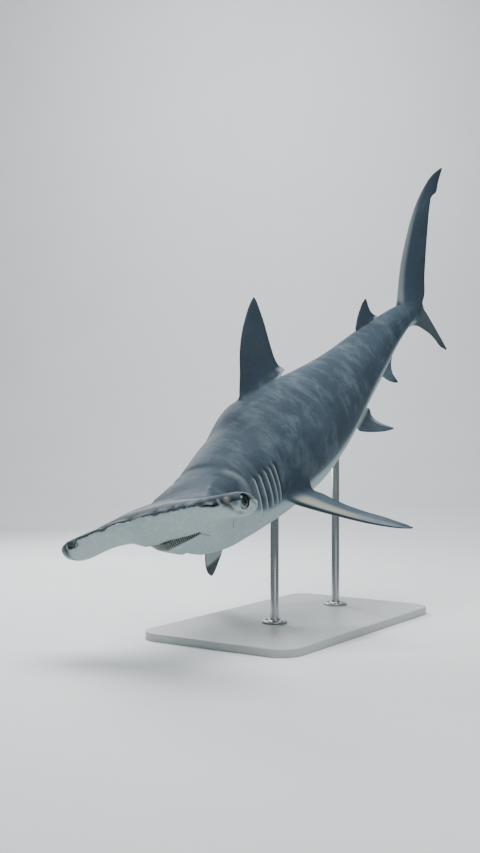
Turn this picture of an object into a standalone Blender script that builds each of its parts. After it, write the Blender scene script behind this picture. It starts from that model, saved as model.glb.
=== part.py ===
"""Great hammerhead shark, life size, as a still museum model on a flat base with two rods.

The animal is first shaped straight, with X to its left, Y from snout to tail and Z up.
The spine then bends it into its swimming pose, and it is set nose down over the base.
The origin is the middle of the underside of the base, and the snout points to -Y.
"""

import math

import bmesh
import bpy
import numpy as np
from mathutils import Matrix, Vector
from mathutils.bvhtree import BVHTree

# Driving dimensions in metres. Every table below is in shares of UNIT_LENGTH, with the tail's root at 0.70.
UNIT_LENGTH = 3.00
CUT_GAP = 0.0003
SPINE_HEIGHT = 0.67
SPINE_AHEAD = 0.26
BASE_SIZE = (0.66, 1.16, 0.030)
BASE_CORNER, CORNER_FACETS = 0.090, 4
ROD_RADIUS = 0.016
ROD_FOOT = 0.010
ROD_TOP_UNDER_SPINE = 0.110
ROD_SIDES = 24
ROD_STATIONS = (0.310, 0.495)
TOOTH_LENGTH = 0.015
TOOTH_WIDTH = 0.009

# Mesh resolution of the solids
HAMMER_POINTS = 32
HOLE_START = 9
HOLE_POINTS = HAMMER_POINTS - 2 * HOLE_START
NECK_COLUMNS = 8
HEAD_RINGS = 6
TUBE_POINTS = 2 * (NECK_COLUMNS + HOLE_POINTS)
WING_SHARES = (0.14, 0.30, 0.46, 0.60, 0.72, 0.82, 0.89, 0.945, 0.98, 1.0)
SHARP_ANGLE = math.radians(50)

# Attitude in the water, in degrees: nose down, and banked with the left side up
NOSE_DOWN = 19.7
BANK = 7.6
REFERENCE_STATION = 0.27

# Bends of the spine, as (station, degrees) against the attitude at the reference station
SPINE_YAW = ((0.0, 4.0), (0.13, 6.0), (0.27, 0.0), (0.45, 2.0), (0.62, -12.0), (0.75, -21.0))
SPINE_PITCH = (
    (0.0, -17.5), (0.06, -16.5), (0.13, -5.0), (0.20, 1.5), (0.27, 0.0), (0.45, 5.4), (0.62, 17.0),
    (0.75, 8.0),
)
SPINE_ROLL = ((0.0, -7.5), (0.06, -6.0), (0.13, 0.0), (0.62, 0.0), (0.75, 2.0))

# Body outline against the spine line
BACK_HEIGHT = (
    (0.03, 0.013), (0.065, 0.020), (0.10, 0.024), (0.14, 0.031), (0.18, 0.041), (0.222, 0.054),
    (0.268, 0.074), (0.33, 0.074), (0.42, 0.065), (0.52, 0.051), (0.60, 0.039), (0.65, 0.029), (0.70, 0.020),
)
BELLY_DEPTH = (
    (0.03, 0.030), (0.065, 0.043), (0.10, 0.057), (0.14, 0.066), (0.18, 0.072), (0.222, 0.075),
    (0.268, 0.077), (0.33, 0.077), (0.42, 0.068), (0.52, 0.051), (0.60, 0.039), (0.65, 0.028), (0.70, 0.018),
)
HALF_WIDTH = (
    (0.03, 0.050), (0.10, 0.047), (0.14, 0.048), (0.18, 0.053), (0.222, 0.059), (0.268, 0.065),
    (0.33, 0.062), (0.42, 0.053), (0.52, 0.040), (0.60, 0.028), (0.65, 0.020), (0.70, 0.014),
)
# How far the sides lean in towards the back and the throat, and how boxy the section is below 1
ROOF = ((0.03, 0.0), (0.10, 0.08), (0.16, 0.18), (0.25, 0.27), (0.30, 0.20), (0.42, 0.08), (0.70, 0.0))
THROAT = ((0.03, 0.40), (0.10, 0.32), (0.15, 0.12), (0.20, 0.0), (0.70, 0.0))
SLOPE_POWER = 1.5
SQUARENESS = (
    (0.03, 0.55), (0.065, 0.60), (0.10, 0.72), (0.14, 0.82), (0.22, 0.88), (0.30, 0.94), (0.70, 1.0),
)

# Hammer of the head, against the distance from the midline. TIP_MIDDLE is the station where its tip closes.
HALF_SPAN = 0.1225
TIP_START = 0.100
TIP_MIDDLE = 0.028
NECK_HALF_WIDTH = 0.050
WING_CUT = 0.060
TIP_DROOP = 0.012
CENTRE_SAG, SAG_SPAN = 0.004, 0.100
TIP_FRONT_ROUNDING, TIP_REAR_ROUNDING, TIP_THINNING, TIP_CLOSING = 0.45, 0.50, 0.55, 0.999
FRONT_EDGE = ((0.0, 0.004), (0.018, 0.001), (0.05, 0.000), (0.085, 0.002), (0.1225, 0.007))
REAR_EDGE = (
    (0.0, 0.130), (0.035, 0.128), (0.05, 0.108), (0.058, 0.092), (0.07, 0.078), (0.09, 0.068),
    (0.1225, 0.058),
)
HAMMER_TOP = ((0.0, 0.0220), (0.03, 0.0200), (0.05, 0.0140), (0.07, 0.0085), (0.09, 0.0080), (0.1225, 0.0105))
HAMMER_BELLY = ((0.0, 0.0400), (0.03, 0.0255), (0.05, 0.0155), (0.07, 0.0145), (0.09, 0.0158), (0.1225, 0.018))
WING_TILT = 0.10
FRONT_SHARPNESS = ((0.0, 1.7), (0.05, 1.4), (0.1225, 1.1))

# Stations where the body is cut, and where gills and fins start and end
NECK_END = 0.140
HEAD_CUT = 0.155
GILL_CUT = 0.222
SHOULDER_CUT = 0.400
LOIN_CUT = 0.555
TAIL_ROOT = 0.700
GILL_SLITS = (0.1700, 0.1815, 0.1930, 0.2030, 0.2120)
GILL_EDGE = 0.0007
GILL_LIFT = 0.0016
GILL_LEAN = 0.010
GILL_LEAN_FADE = 0.025
GILL_TOP, GILL_BOTTOM, GILL_FADE = math.radians(80), math.radians(128), math.radians(9)

# Rows of faces between stations: (end station, rows)
ROWS = (
    (GILL_CUT, 1), (0.268, 6), (0.278, 1), (0.365, 9), (SHOULDER_CUT, 3), (0.475, 6), (0.520, 5),
    (LOIN_CUT, 3), (0.600, 4), (0.636, 5), (0.648, 2), (TAIL_ROOT, 5),
)


def smooth_curve(knots, place):
    """Values at the places of a curve through (place, value) knots that never overshoots them."""
    x, y = np.array(knots, float).T
    step = np.diff(x)
    rise = np.diff(y) / step
    slope = np.zeros(len(x))
    slope[0], slope[-1] = rise[0], rise[-1]
    for k in range(1, len(x) - 1):
        if rise[k - 1] * rise[k] > 0:
            before, after = 2 * step[k] + step[k - 1], step[k] + 2 * step[k - 1]
            slope[k] = (before + after) / (before / rise[k - 1] + after / rise[k])
    place = np.clip(place, x[0], x[-1])
    k = np.clip(np.searchsorted(x, place, side="right") - 1, 0, len(x) - 2)
    t = (place - x[k]) / step[k]
    start = (1 + 2 * t) * (1 - t) ** 2 * y[k] + t * (1 - t) ** 2 * step[k] * slope[k]
    end = t * t * (3 - 2 * t) * y[k + 1] + t * t * (t - 1) * step[k] * slope[k + 1]
    return start + end


def signed_power(value, exponent):
    return np.sign(value) * np.abs(value) ** exponent


def ease(value):
    value = np.clip(value, 0, 1)
    return value * value * (3 - 2 * value)


def spine_frames():
    """Stations along the spine, with the place and the rotation of the body's frame at each."""
    stations = np.linspace(0, 1, 401)
    clipped = np.minimum(stations, SPINE_YAW[-1][0])
    angles = [np.radians(smooth_curve(k, clipped)) for k in (SPINE_YAW, SPINE_PITCH, SPINE_ROLL)]
    turns = [
        Matrix.Rotation(yaw, 3, "Z") @ Matrix.Rotation(pitch, 3, "X") @ Matrix.Rotation(roll, 3, "Y")
        for yaw, pitch, roll in zip(*angles)
    ]
    attitude = Matrix.Rotation(math.radians(NOSE_DOWN), 3, "X") @ Matrix.Rotation(-math.radians(BANK), 3, "Y")
    frames = np.array([attitude @ turn for turn in turns])
    steps = (frames[1:, :, 1] + frames[:-1, :, 1]) / 2 * (stations[1] - stations[0])
    places = np.vstack([np.zeros(3), np.cumsum(steps, axis=0)])
    reference = np.searchsorted(stations, REFERENCE_STATION)
    places = (places - places[reference]) * UNIT_LENGTH
    return stations, places + np.array((0, -SPINE_AHEAD, SPINE_HEIGHT)), frames


STATIONS, PLACES, FRAMES = spine_frames()


def posed(points):
    """Points of the straight body, in shares, as metres in the posed animal."""
    points = np.atleast_2d(np.array(points, float))
    at = np.clip(points[:, 1], 0, 0.9999) * (len(STATIONS) - 1)
    k = at.astype(int)
    part = (at - k)[:, None]
    place = PLACES[k] * (1 - part) + PLACES[k + 1] * part
    frame = FRAMES[k] * (1 - part[:, :, None]) + FRAMES[k + 1] * part[:, :, None]
    beyond = points[:, 1] - np.clip(points[:, 1], 0, 0.9999)
    local = np.column_stack([points[:, 0], beyond, points[:, 2]]) * UNIT_LENGTH
    return place + np.einsum("nij,nj->ni", frame, local)


def gill_relief(station, angle):
    """Height of the skin over the gills: each flap rises to its rear edge and drops into a slit."""
    edges = np.array((2 * GILL_SLITS[0] - GILL_SLITS[1], *GILL_SLITS))
    station = np.atleast_1d(station)
    k = np.clip(np.searchsorted(edges, station) - 1, 0, len(edges) - 2)
    start, end = edges[k] + GILL_EDGE, edges[k + 1] - GILL_EDGE
    flap = np.clip((station - start) / (end - start), 0, 1)
    drop = np.clip((station - end) / (2 * GILL_EDGE), 0, 1)
    height = np.where(station > end, 1 - 2 * drop, np.where(k > 0, 2 * flap - 1, flap))
    behind = ease((station - edges[-1] - GILL_EDGE) / (GILL_CUT - edges[-1] - GILL_EDGE))
    height = np.where(station > edges[-1] + GILL_EDGE, behind - 1, height)
    height = np.where((station < edges[0]) | (station >= GILL_CUT), 0, height)
    side = np.abs((angle + math.pi) % (2 * math.pi) - math.pi)
    window = ease((side - GILL_TOP) / GILL_FADE) * ease((GILL_BOTTOM - side) / GILL_FADE)
    return GILL_LIFT * height * window


def tube_point(station, angle):
    """Points on the straight body. Angle 0 is the back, and a right angle the left side."""
    station, angle = np.broadcast_arrays(np.atleast_1d(station).astype(float), angle)
    power = smooth_curve(SQUARENESS, station)
    side = signed_power(np.sin(angle), power)
    rise = signed_power(np.cos(angle), power)
    height = np.where(rise > 0, smooth_curve(BACK_HEIGHT, station), smooth_curve(BELLY_DEPTH, station))
    radius = 1 + gill_relief(station, angle) / smooth_curve(HALF_WIDTH, station)
    lean = GILL_LEAN * ease((station - NECK_END) / GILL_LEAN_FADE)
    lean = lean * ease((GILL_CUT - station) / GILL_LEAN_FADE)
    slope = 1 - smooth_curve(ROOF, station) * np.clip(np.cos(angle), 0, 1) ** SLOPE_POWER
    slope -= smooth_curve(THROAT, station) * np.clip(-np.cos(angle), 0, 1) ** SLOPE_POWER
    x = smooth_curve(HALF_WIDTH, station) * side * radius * slope
    return np.column_stack([x, station - lean * np.cos(angle), height * rise * radius])


def hammer_point(span, angle):
    """Points on the hammer. Span is the distance to the left, and angle runs from the front over the top."""
    span, angle = np.broadcast_arrays(np.atleast_1d(span).astype(float), angle)
    out = np.abs(span)
    tip = np.sqrt(1 - np.clip((out - TIP_START) / (HALF_SPAN - TIP_START), 0, TIP_CLOSING) ** 2)
    front = TIP_MIDDLE - (TIP_MIDDLE - smooth_curve(FRONT_EDGE, out)) * tip**TIP_FRONT_ROUNDING
    rear = TIP_MIDDLE + (smooth_curve(REAR_EDGE, out) - TIP_MIDDLE) * tip**TIP_REAR_ROUNDING
    chord = (1 - np.cos(angle)) / 2
    rise = signed_power(np.sin(angle), np.where(chord < 0.5, smooth_curve(FRONT_SHARPNESS, out), 1.0))
    height = np.where(rise > 0, smooth_curve(HAMMER_TOP, out), smooth_curve(HAMMER_BELLY, out))
    sag = CENTRE_SAG * np.clip(1 - (out / SAG_SPAN) ** 2, 0, 1) ** 2
    middle = -sag - TIP_DROOP * (out / HALF_SPAN) ** 2 - WING_TILT * chord * (rear - front)
    return np.column_stack([span, front + chord * (rear - front), middle + height * tip**TIP_THINNING * rise])


def spans():
    """Distances from the midline of the hammer's sections, from the right tip to the left one."""
    wing = NECK_HALF_WIDTH + (HALF_SPAN - NECK_HALF_WIDTH) * np.array(WING_SHARES)
    wing[0] = WING_CUT
    middle = np.linspace(-NECK_HALF_WIDTH, NECK_HALF_WIDTH, NECK_COLUMNS + 1)
    return np.concatenate([-wing[::-1], middle, wing])


SPANS = spans()
FIRST_NECK_SPAN = int(np.argmin(np.abs(SPANS + NECK_HALF_WIDTH)))
LAST_NECK_SPAN = FIRST_NECK_SPAN + NECK_COLUMNS
WING_CUTS = (FIRST_NECK_SPAN - 1, LAST_NECK_SPAN + 1)
HAMMER = np.array(
    [hammer_point(a, np.linspace(0, 2 * math.pi, HAMMER_POINTS, endpoint=False)) for a in SPANS]
)


def neck_keys():
    """Keys round the opening where the body grows from the hammer, from the top midline leftwards."""
    half = NECK_COLUMNS // 2
    centre = FIRST_NECK_SPAN + half
    top, low = HOLE_START, HAMMER_POINTS - HOLE_START
    keys = [("hammer", centre + k, top) for k in range(half)]
    keys += [("hammer", LAST_NECK_SPAN, top + k) for k in range(HOLE_POINTS)]
    keys += [("hammer", LAST_NECK_SPAN - k, low) for k in range(NECK_COLUMNS)]
    keys += [("hammer", FIRST_NECK_SPAN, low - k) for k in range(HOLE_POINTS)]
    return keys + [("hammer", FIRST_NECK_SPAN + k, top) for k in range(half)]


def row_stations():
    """Stations of the body's rings behind the neck."""
    stations = [NECK_END, HEAD_CUT]
    for slit in GILL_SLITS:
        stations += [slit - GILL_EDGE, slit + GILL_EDGE]
    for end, rows in ROWS:
        stations += list(np.linspace(stations[-1], end, rows + 1)[1:])
    return stations


ANGLES = np.linspace(0, 2 * math.pi, TUBE_POINTS, endpoint=False)
POINTS = {("hammer", a, m): HAMMER[a, m] for a in range(len(SPANS)) for m in range(HAMMER_POINTS)}


def add_tube_rings():
    """Adds the body's rings to POINTS and returns their stations. The first ones shape the neck."""
    start = np.array([POINTS[key] for key in neck_keys()])
    away = start - tube_point(start[:, 1], ANGLES)
    away[:, 1] = 0
    rings = []
    for ring in range(1, HEAD_RINGS):
        share = ring / HEAD_RINGS
        station = start[:, 1] + (NECK_END - start[:, 1]) * share
        rings.append(tube_point(station, ANGLES) + away * (1 - share) ** 2)
    stations = [NECK_END * ring / HEAD_RINGS for ring in range(1, HEAD_RINGS)] + row_stations()
    rings += [tube_point(station, ANGLES) for station in row_stations()]
    for i, ring in enumerate(rings):
        for j, point in enumerate(ring):
            POINTS["tube", i, j] = point
    return stations


RING_STATIONS = add_tube_rings()


def ring_at(station):
    return int(np.argmin(np.abs(np.array(RING_STATIONS) - station)))


def tube_keys(ring):
    return [("tube", ring, j) for j in range(TUBE_POINTS)]


# Upper lobe of the tail, as (share of its length, leading edge's y and z, trailing edge's, half thickness)
LOBE = (
    (0.00, 0.7000, 0.0200, 0.7000, -0.0180, 0.0140),
    (0.05, 0.7008, 0.0212, 0.7109, -0.0178, 0.0125),
    (0.10, 0.7020, 0.0235, 0.7213, -0.0151, 0.0110),
    (0.20, 0.7058, 0.0300, 0.7392, -0.0054, 0.0085),
    (0.30, 0.7132, 0.0407, 0.7564, 0.0082, 0.0060),
    (0.40, 0.7265, 0.0593, 0.7678, 0.0294, 0.0051),
    (0.50, 0.7434, 0.0813, 0.7811, 0.0513, 0.0044),
    (0.60, 0.7642, 0.1037, 0.7957, 0.0745, 0.0038),
    (0.70, 0.7868, 0.1250, 0.8111, 0.0980, 0.0032),
    (0.80, 0.8110, 0.1430, 0.8288, 0.1237, 0.0026),
    (0.85, 0.8252, 0.1513, 0.8402, 0.1360, 0.0023),
    (0.88, 0.8338, 0.1557, 0.8503, 0.1372, 0.0021),
    (0.93, 0.8478, 0.1619, 0.8607, 0.1481, 0.0017),
    (0.97, 0.8623, 0.1657, 0.8718, 0.1583, 0.0012),
    (1.00, 0.8782, 0.1670, 0.8794, 0.1647, 0.0007),
)
LOBE_ROWS = (0.05, 0.10, 0.15, 0.20, 0.25, 0.32, 0.41, 0.51, 0.61, 0.71, 0.80, 0.85, 0.88, 0.94, 1.0)
LOWER_LOBE_END = 0.25
BLADE_GROWTH, BLADE_SHARPNESS = 0.3, 0.5


def lobe_ring(share):
    """Section of the tail's upper lobe at a share of its length, with the body's angles."""
    values = [smooth_curve([(row[0], row[k]) for row in LOBE], share) for k in range(1, 6)]
    lead, trail, half = np.array(values[:2]), np.array(values[2:4]), values[4]
    forward = (1 + np.cos(ANGLES)[:, None]) / 2
    edge = trail + (lead - trail) * forward
    blade = ease((share - LOWER_LOBE_END) / BLADE_GROWTH)
    side = signed_power(np.sin(ANGLES), np.where(forward[:, 0] < 0.5, 1 + BLADE_SHARPNESS * blade, 1.0))
    return np.column_stack([half * side, edge])


def add_lobe_rings():
    first = len(RING_STATIONS)
    for i, share in enumerate(LOBE_ROWS):
        for j, point in enumerate(lobe_ring(share)):
            POINTS["tube", first + i, j] = point
    return first


FIRST_LOBE_RING = add_lobe_rings()
LAST_RING = FIRST_LOBE_RING + len(LOBE_ROWS) - 1
LOWER_LOBE_ROWS = (FIRST_LOBE_RING - 1, FIRST_LOBE_RING + LOBE_ROWS.index(LOWER_LOBE_END))

# Fins. An outline is (share of the height, leading edge, trailing edge) from the front of the root.
# A root is (first station, last station) at an angle round the body, and lean is how far the fin points down
# from level. Thickness is half of the root's, and twist turns the trailing edge down.
FIN_ROWS = (0.035, 0.08, 0.15, 0.24, 0.35, 0.47, 0.59, 0.70, 0.80, 0.88, 0.95, 1.0)
FIN_TAPER, TAPER_POWER = 0.80, 0.8
FRONT_FULLNESS, REAR_THINNING = 1.20, 0.75
FULL_CHORD = 0.030
BULGE_HEIGHT = 0.25
FIRST_DORSAL = {
    "root": (0.268, 0.365), "angle": 0, "lean": -90, "height": 0.1095, "thickness": 0.0066, "outline": (
        (0.0, 0.000, 0.097), (0.035, 0.001, 0.131), (0.07, 0.003, 0.118), (0.13, 0.007, 0.108),
        (0.27, 0.0165, 0.1035), (0.5, 0.0305, 0.105), (0.7, 0.049, 0.107), (0.84, 0.068, 0.1065),
        (0.94, 0.085, 0.106), (1.0, 0.100, 0.103),
    ),
}
SECOND_DORSAL = {
    "root": (0.600, 0.648), "angle": 0, "lean": -90, "height": 0.0346, "thickness": 0.0036, "outline": (
        (0.0, 0.000, 0.048), (0.04, 0.000, 0.060), (0.10, 0.001, 0.054), (0.2, 0.005, 0.050),
        (0.45, 0.015, 0.0475), (0.62, 0.0235, 0.048), (0.74, 0.030, 0.049), (0.92, 0.041, 0.0505),
        (1.0, 0.0485, 0.0505), ),
}
ANAL = {
    "root": (0.600, 0.636), "angle": 180, "lean": 90, "height": 0.040, "thickness": 0.0032, "outline": (
        (0.0, 0.000, 0.036), (0.05, 0.001, 0.043), (0.12, 0.003, 0.044), (0.23, 0.006, 0.036),
        (0.4, 0.009, 0.030), (0.61, 0.014, 0.0275), (0.75, 0.018, 0.028), (0.89, 0.023, 0.0288),
        (1.0, 0.0275, 0.0292), ),
}
LEFT_PELVIC = {
    "root": (0.475, 0.520), "angle": 150, "lean": 42, "height": 0.048, "thickness": 0.0040, "outline": (
        (0.0, 0.000, 0.045), (0.05, -0.001, 0.050), (0.12, -0.002, 0.047), (0.25, 0.001, 0.038),
        (0.5, 0.010, 0.034), (0.8, 0.023, 0.036), (1.0, 0.035, 0.0385),
    ),
}
LEFT_PECTORAL = {
    "root": (0.222, 0.278), "angle": 122, "lean": 30.8, "height": 0.129, "thickness": 0.0068, "twist": 12,
    "sweep": 0.081, "outline": (
        (0.0, 0.000, 0.056), (0.04, -0.003, 0.061), (0.10, -0.007, 0.059), (0.2, -0.011, 0.050),
        (0.4, -0.015, 0.034), (0.6, -0.016, 0.025), (0.7, -0.0155, 0.0225), (0.83, -0.012, 0.0165),
        (0.93, -0.007, 0.0115), (1.0, 0.001, 0.006),
    ),
}
LOWER_LOBE = {
    "angle": 180, "lean": 90, "height": 0.094, "thickness": 0.0036, "half_columns": 2, "outline": (
        (0.0, 0.000, 0.0513), (0.126, 0.016, 0.0496), (0.2, 0.0228, 0.0515), (0.35, 0.0325, 0.0545),
        (0.52, 0.0423, 0.058), (0.66, 0.0482, 0.0606), (0.85, 0.0548, 0.0642), (1.0, 0.0645, 0.0668),
    ),
}
FINS = {
    "lower_tail_lobe": LOWER_LOBE,
    "first_dorsal_fin": FIRST_DORSAL,
    "second_dorsal_fin": SECOND_DORSAL,
    "anal_fin": ANAL,
    "left_pelvic_fin": LEFT_PELVIC,
    "right_pelvic_fin": {**LEFT_PELVIC, "angle": 210, "lean": 138},
    "left_pectoral_fin": LEFT_PECTORAL,
    "right_pectoral_fin": {**LEFT_PECTORAL, "angle": 238, "lean": 133.5, "height": 0.151, "sweep": 0.069},
}


def hole_keys(rows, column, half_columns):
    """Keys round the opening where a fin grows, from the middle of its front down the side of rising angle."""
    first, last = rows
    right, left = column - half_columns, column + half_columns
    keys = [(first, j) for j in range(column, left)]
    keys += [(i, left) for i in range(first, last)]
    keys += [(last, j) for j in range(left, right, -1)]
    keys += [(i, right) for i in range(last, first, -1)]
    keys += [(first, j) for j in range(right, column)]
    return [("tube", i, j % TUBE_POINTS) for i, j in keys]


def fin_direction(fin):
    lean = math.radians(fin["lean"])
    return np.array((math.cos(lean), 0.0, -math.sin(lean)))


def fin_section(fin, place, count, rise, share):
    """Closed section of a fin, with its front edge first. It is at a share of the height called rise, and has
    the outline of share. Place is the root's front, the chord's direction and the bulge of the skin."""
    origin, along, bulge = place
    out = fin_direction(fin)
    normal = np.cross(along, out)
    normal /= np.linalg.norm(normal)
    lead, trail = (smooth_curve([(row[0], row[k]) for row in fin["outline"]], share) for k in (1, 2))
    angle = np.linspace(0, 2 * math.pi, count, endpoint=False)
    back = (1 - np.cos(angle)) / 2
    half = fin["thickness"] * (1 - FIN_TAPER * rise**TAPER_POWER)
    half *= math.sqrt(min(1.0, (trail - lead) / FULL_CHORD))
    depth = half * np.sin(angle) * (FRONT_FULLNESS - REAR_THINNING * back)
    chord = lead + fin.get("sweep", 0.0) * rise + (trail - lead) * back
    lift = fin["height"] * rise + np.interp(back, *bulge) * (1 - min(1.0, rise / BULGE_HEIGHT)) ** 2
    return origin + np.outer(lift, out) + np.outer(chord, along) + np.outer(depth, normal)


def add_fin_rings(name, fin, rows):
    """Adds a fin's rings to POINTS. Ring 0 is the fillet on the body, where the fin's own solid starts."""
    column = round(fin["angle"] / 360 * TUBE_POINTS)
    half_columns = fin.get("half_columns", 1)
    root = np.array([POINTS[key] for key in hole_keys(rows, column, half_columns)])
    count = len(root)
    straight = root[count // 2] - root[0]
    middle = np.array([POINTS["tube", i, column] for i in range(rows[0], rows[1] + 1)]) - root[0]
    shares = middle @ straight / (straight @ straight)
    bulge = shares, (middle - np.outer(shares, straight)) @ fin_direction(fin)
    if "twist" in fin:
        straight = np.array((0.0, 1.0, -math.tan(math.radians(fin["twist"]))))
    place = root[0], straight / np.linalg.norm(straight), bulge
    fillet = (root + fin_section(fin, place, count, FIN_ROWS[0], 0)) / 2
    rings = [fillet] + [fin_section(fin, place, count, share, share) for share in FIN_ROWS]
    for r, ring in enumerate(rings):
        for k, point in enumerate(ring):
            POINTS[name, r, k] = point
    return {"rows": rows, "column": column, "half_columns": half_columns, "count": count}


def fin_rows(fin):
    """The first and the last ring of the body that a fin grows from."""
    return tuple(ring_at(station) for station in fin["root"]) if "root" in fin else LOWER_LOBE_ROWS


GROWN = {name: add_fin_rings(name, fin, fin_rows(fin)) for name, fin in FINS.items()}


class Solid:
    """One closed piece, made of faces between named points. Points on a cut can be moved by the gap."""

    def __init__(self):
        self.index = {}
        self.points = []
        self.faces = []
        self.shift = {}

    def face(self, *keys):
        corners = []
        for key in keys:
            if key not in self.index:
                self.index[key] = len(self.points)
                self.points.append(POINTS[key] + self.shift.get(key, np.zeros(3)))
            if self.index[key] not in corners:
                corners.append(self.index[key])
        self.faces.append(corners)

    def move(self, keys, direction):
        for key in keys:
            self.shift[key] = np.array(direction, float) * CUT_GAP / UNIT_LENGTH

    def quad(self, a, b, c, d, mirrored):
        """Two triangles. The diagonals of mirrored quads run the other way, so both sides are split alike."""
        if mirrored:
            self.face(a, b, d)
            self.face(b, c, d)
        else:
            self.face(a, b, c)
            self.face(a, c, d)

    def band(self, loop, following):
        for k in range(len(loop)):
            n = (k + 1) % len(loop)
            self.quad(loop[k], loop[n], following[n], following[k], 2 * k >= len(loop))

    def cap(self, loop):
        """Closes a loop with strips between its two sides, which mirror each other about point 0."""
        n = len(loop)
        for k in range(n // 2):
            if k:
                self.face(loop[k], loop[n - k - 1], loop[n - k])
            if k < n // 2 - 1:
                self.face(loop[k], loop[k + 1], loop[n - k - 1])

    def tube(self, first, last, openings):
        """Faces of the body between two rings, apart from the openings where fins grow."""
        for i in range(first, last):
            for j in range(TUBE_POINTS):
                if not any(inside(o, i, j) for o in openings):
                    n = (j + 1) % TUBE_POINTS
                    corners = ("tube", i, j), ("tube", i, n), ("tube", i + 1, n), ("tube", i + 1, j)
                    self.quad(*corners, 2 * j >= TUBE_POINTS)
        for name in openings:
            fin = GROWN[name]
            root = hole_keys(fin["rows"], fin["column"], fin["half_columns"])
            stub = [(name, 0, k) for k in range(fin["count"])]
            self.band(root, stub)
            self.cap(stub)

    def underside(self):
        """Finds the height of the straight solid's underside at a distance from the midline and a station."""
        tree = BVHTree.FromPolygons([Vector(p) for p in self.points], self.faces)
        return lambda span, station: tree.ray_cast(Vector((span, station, -1)), Vector((0, 0, 1)))[0][2]


def inside(name, ring, column):
    """Whether a face of the body is in the opening where a fin grows."""
    fin = GROWN[name]
    first, last = fin["rows"]
    half = fin["half_columns"]
    return first <= ring < last and (column - fin["column"] + half) % TUBE_POINTS < 2 * half


def principled(name, colour, roughness, metallic=0.0):
    made = bpy.data.materials.new(name)
    made.use_nodes = True
    shader = made.node_tree.nodes["Principled BSDF"]
    shader.inputs["Base Color"].default_value = (*colour, 1.0)
    shader.inputs["Roughness"].default_value = roughness
    shader.inputs["Metallic"].default_value = metallic
    made.diffuse_color = (*colour, 1.0)
    return made


def solid_object(name, points, faces, skin):
    """Makes an object of points in metres, with its faces pointing out and smooth shading."""
    mesh = bpy.data.meshes.new(name)
    mesh.from_pydata([Vector(p) for p in points], [], faces)
    bm = bmesh.new()
    bm.from_mesh(mesh)
    bmesh.ops.recalc_face_normals(bm, faces=bm.faces)
    if bm.calc_volume(signed=True) < 0:
        bmesh.ops.reverse_faces(bm, faces=bm.faces)
    bm.to_mesh(mesh)
    bm.free()
    mesh.materials.append(skin)
    obj = bpy.data.objects.new(name, mesh)
    bpy.context.scene.collection.objects.link(obj)
    mesh.shade_smooth()
    mesh.set_sharp_from_angle(angle=SHARP_ANGLE)
    return obj


def grown_object(name, shape, skin):
    """Makes an object of the straight body's points and faces, bent into the pose."""
    points, faces = shape
    return solid_object(name, posed(points), faces, skin)


def combine(obj, others, operation):
    """Joins the other objects to obj, or cuts them from it, and removes them."""
    tools = bpy.data.collections.new("tools")
    bpy.context.scene.collection.children.link(tools)
    for other in others:
        bpy.context.scene.collection.objects.unlink(other)
        tools.objects.link(other)
    boolean = obj.modifiers.new(operation, "BOOLEAN")
    boolean.operation = operation
    boolean.operand_type = "COLLECTION"
    boolean.collection = tools
    boolean.solver = "EXACT"
    graph = bpy.context.evaluated_depsgraph_get()
    joined = bpy.data.meshes.new_from_object(obj.evaluated_get(graph))
    obj.modifiers.clear()
    obj.data = joined
    for other in others:
        bpy.data.objects.remove(other)
    bpy.data.collections.remove(tools)
    keep_largest(obj)


def keep_largest(obj):
    """Keeps only the largest closed surface of a solid."""
    bm = bmesh.new()
    bm.from_mesh(obj.data)
    left, groups = set(bm.verts), []
    while left:
        found, edge = set(), [left.pop()]
        while edge:
            vertex = edge.pop()
            found.add(vertex)
            for link in vertex.link_edges:
                other = link.other_vert(vertex)
                if other in left:
                    left.discard(other)
                    edge.append(other)
        groups.append(found)
    groups.sort(key=len, reverse=True)
    for group in groups[1:]:
        bmesh.ops.delete(bm, geom=list(group), context="VERTS")
    bm.to_mesh(obj.data)
    bm.free()


def ball(centre, radii, columns, rows):
    """Points and faces of an ellipsoid with its poles along X."""
    points, faces = [], []
    for r in range(1, rows):
        turn = math.pi * r / rows
        for c in range(columns):
            around = 2 * math.pi * c / columns
            unit = (math.cos(turn), math.sin(turn) * math.cos(around), math.sin(turn) * math.sin(around))
            points.append([centre[k] + radii[k] * unit[k] for k in range(3)])
    for r in range(rows - 2):
        for c in range(columns):
            n = (c + 1) % columns
            faces.append((r * columns + c, r * columns + n, (r + 1) * columns + n, (r + 1) * columns + c))
    near, far = len(points), len(points) + 1
    points += [(centre[0] + radii[0], centre[1], centre[2]), (centre[0] - radii[0], centre[1], centre[2])]
    last = (rows - 2) * columns
    for c in range(columns):
        n = (c + 1) % columns
        faces += [(near, c, n), (far, last + n, last + c)]
    return points, faces


def ring_tube(centre, ring_radius, radius, count, sides):
    """Points and faces of a ring round the X axis."""
    points, faces = [], []
    for k in range(count):
        turn = 2 * math.pi * k / count
        for c in range(sides):
            around = 2 * math.pi * c / sides
            reach = ring_radius + radius * math.cos(around)
            offset = (radius * math.sin(around), reach * math.cos(turn), reach * math.sin(turn))
            points.append([centre[i] + offset[i] for i in range(3)])
    for k in range(count):
        for c in range(sides):
            n, following = (c + 1) % sides, (k + 1) % count
            faces.append((k * sides + c, k * sides + n, following * sides + n, following * sides + c))
    return points, faces


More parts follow.
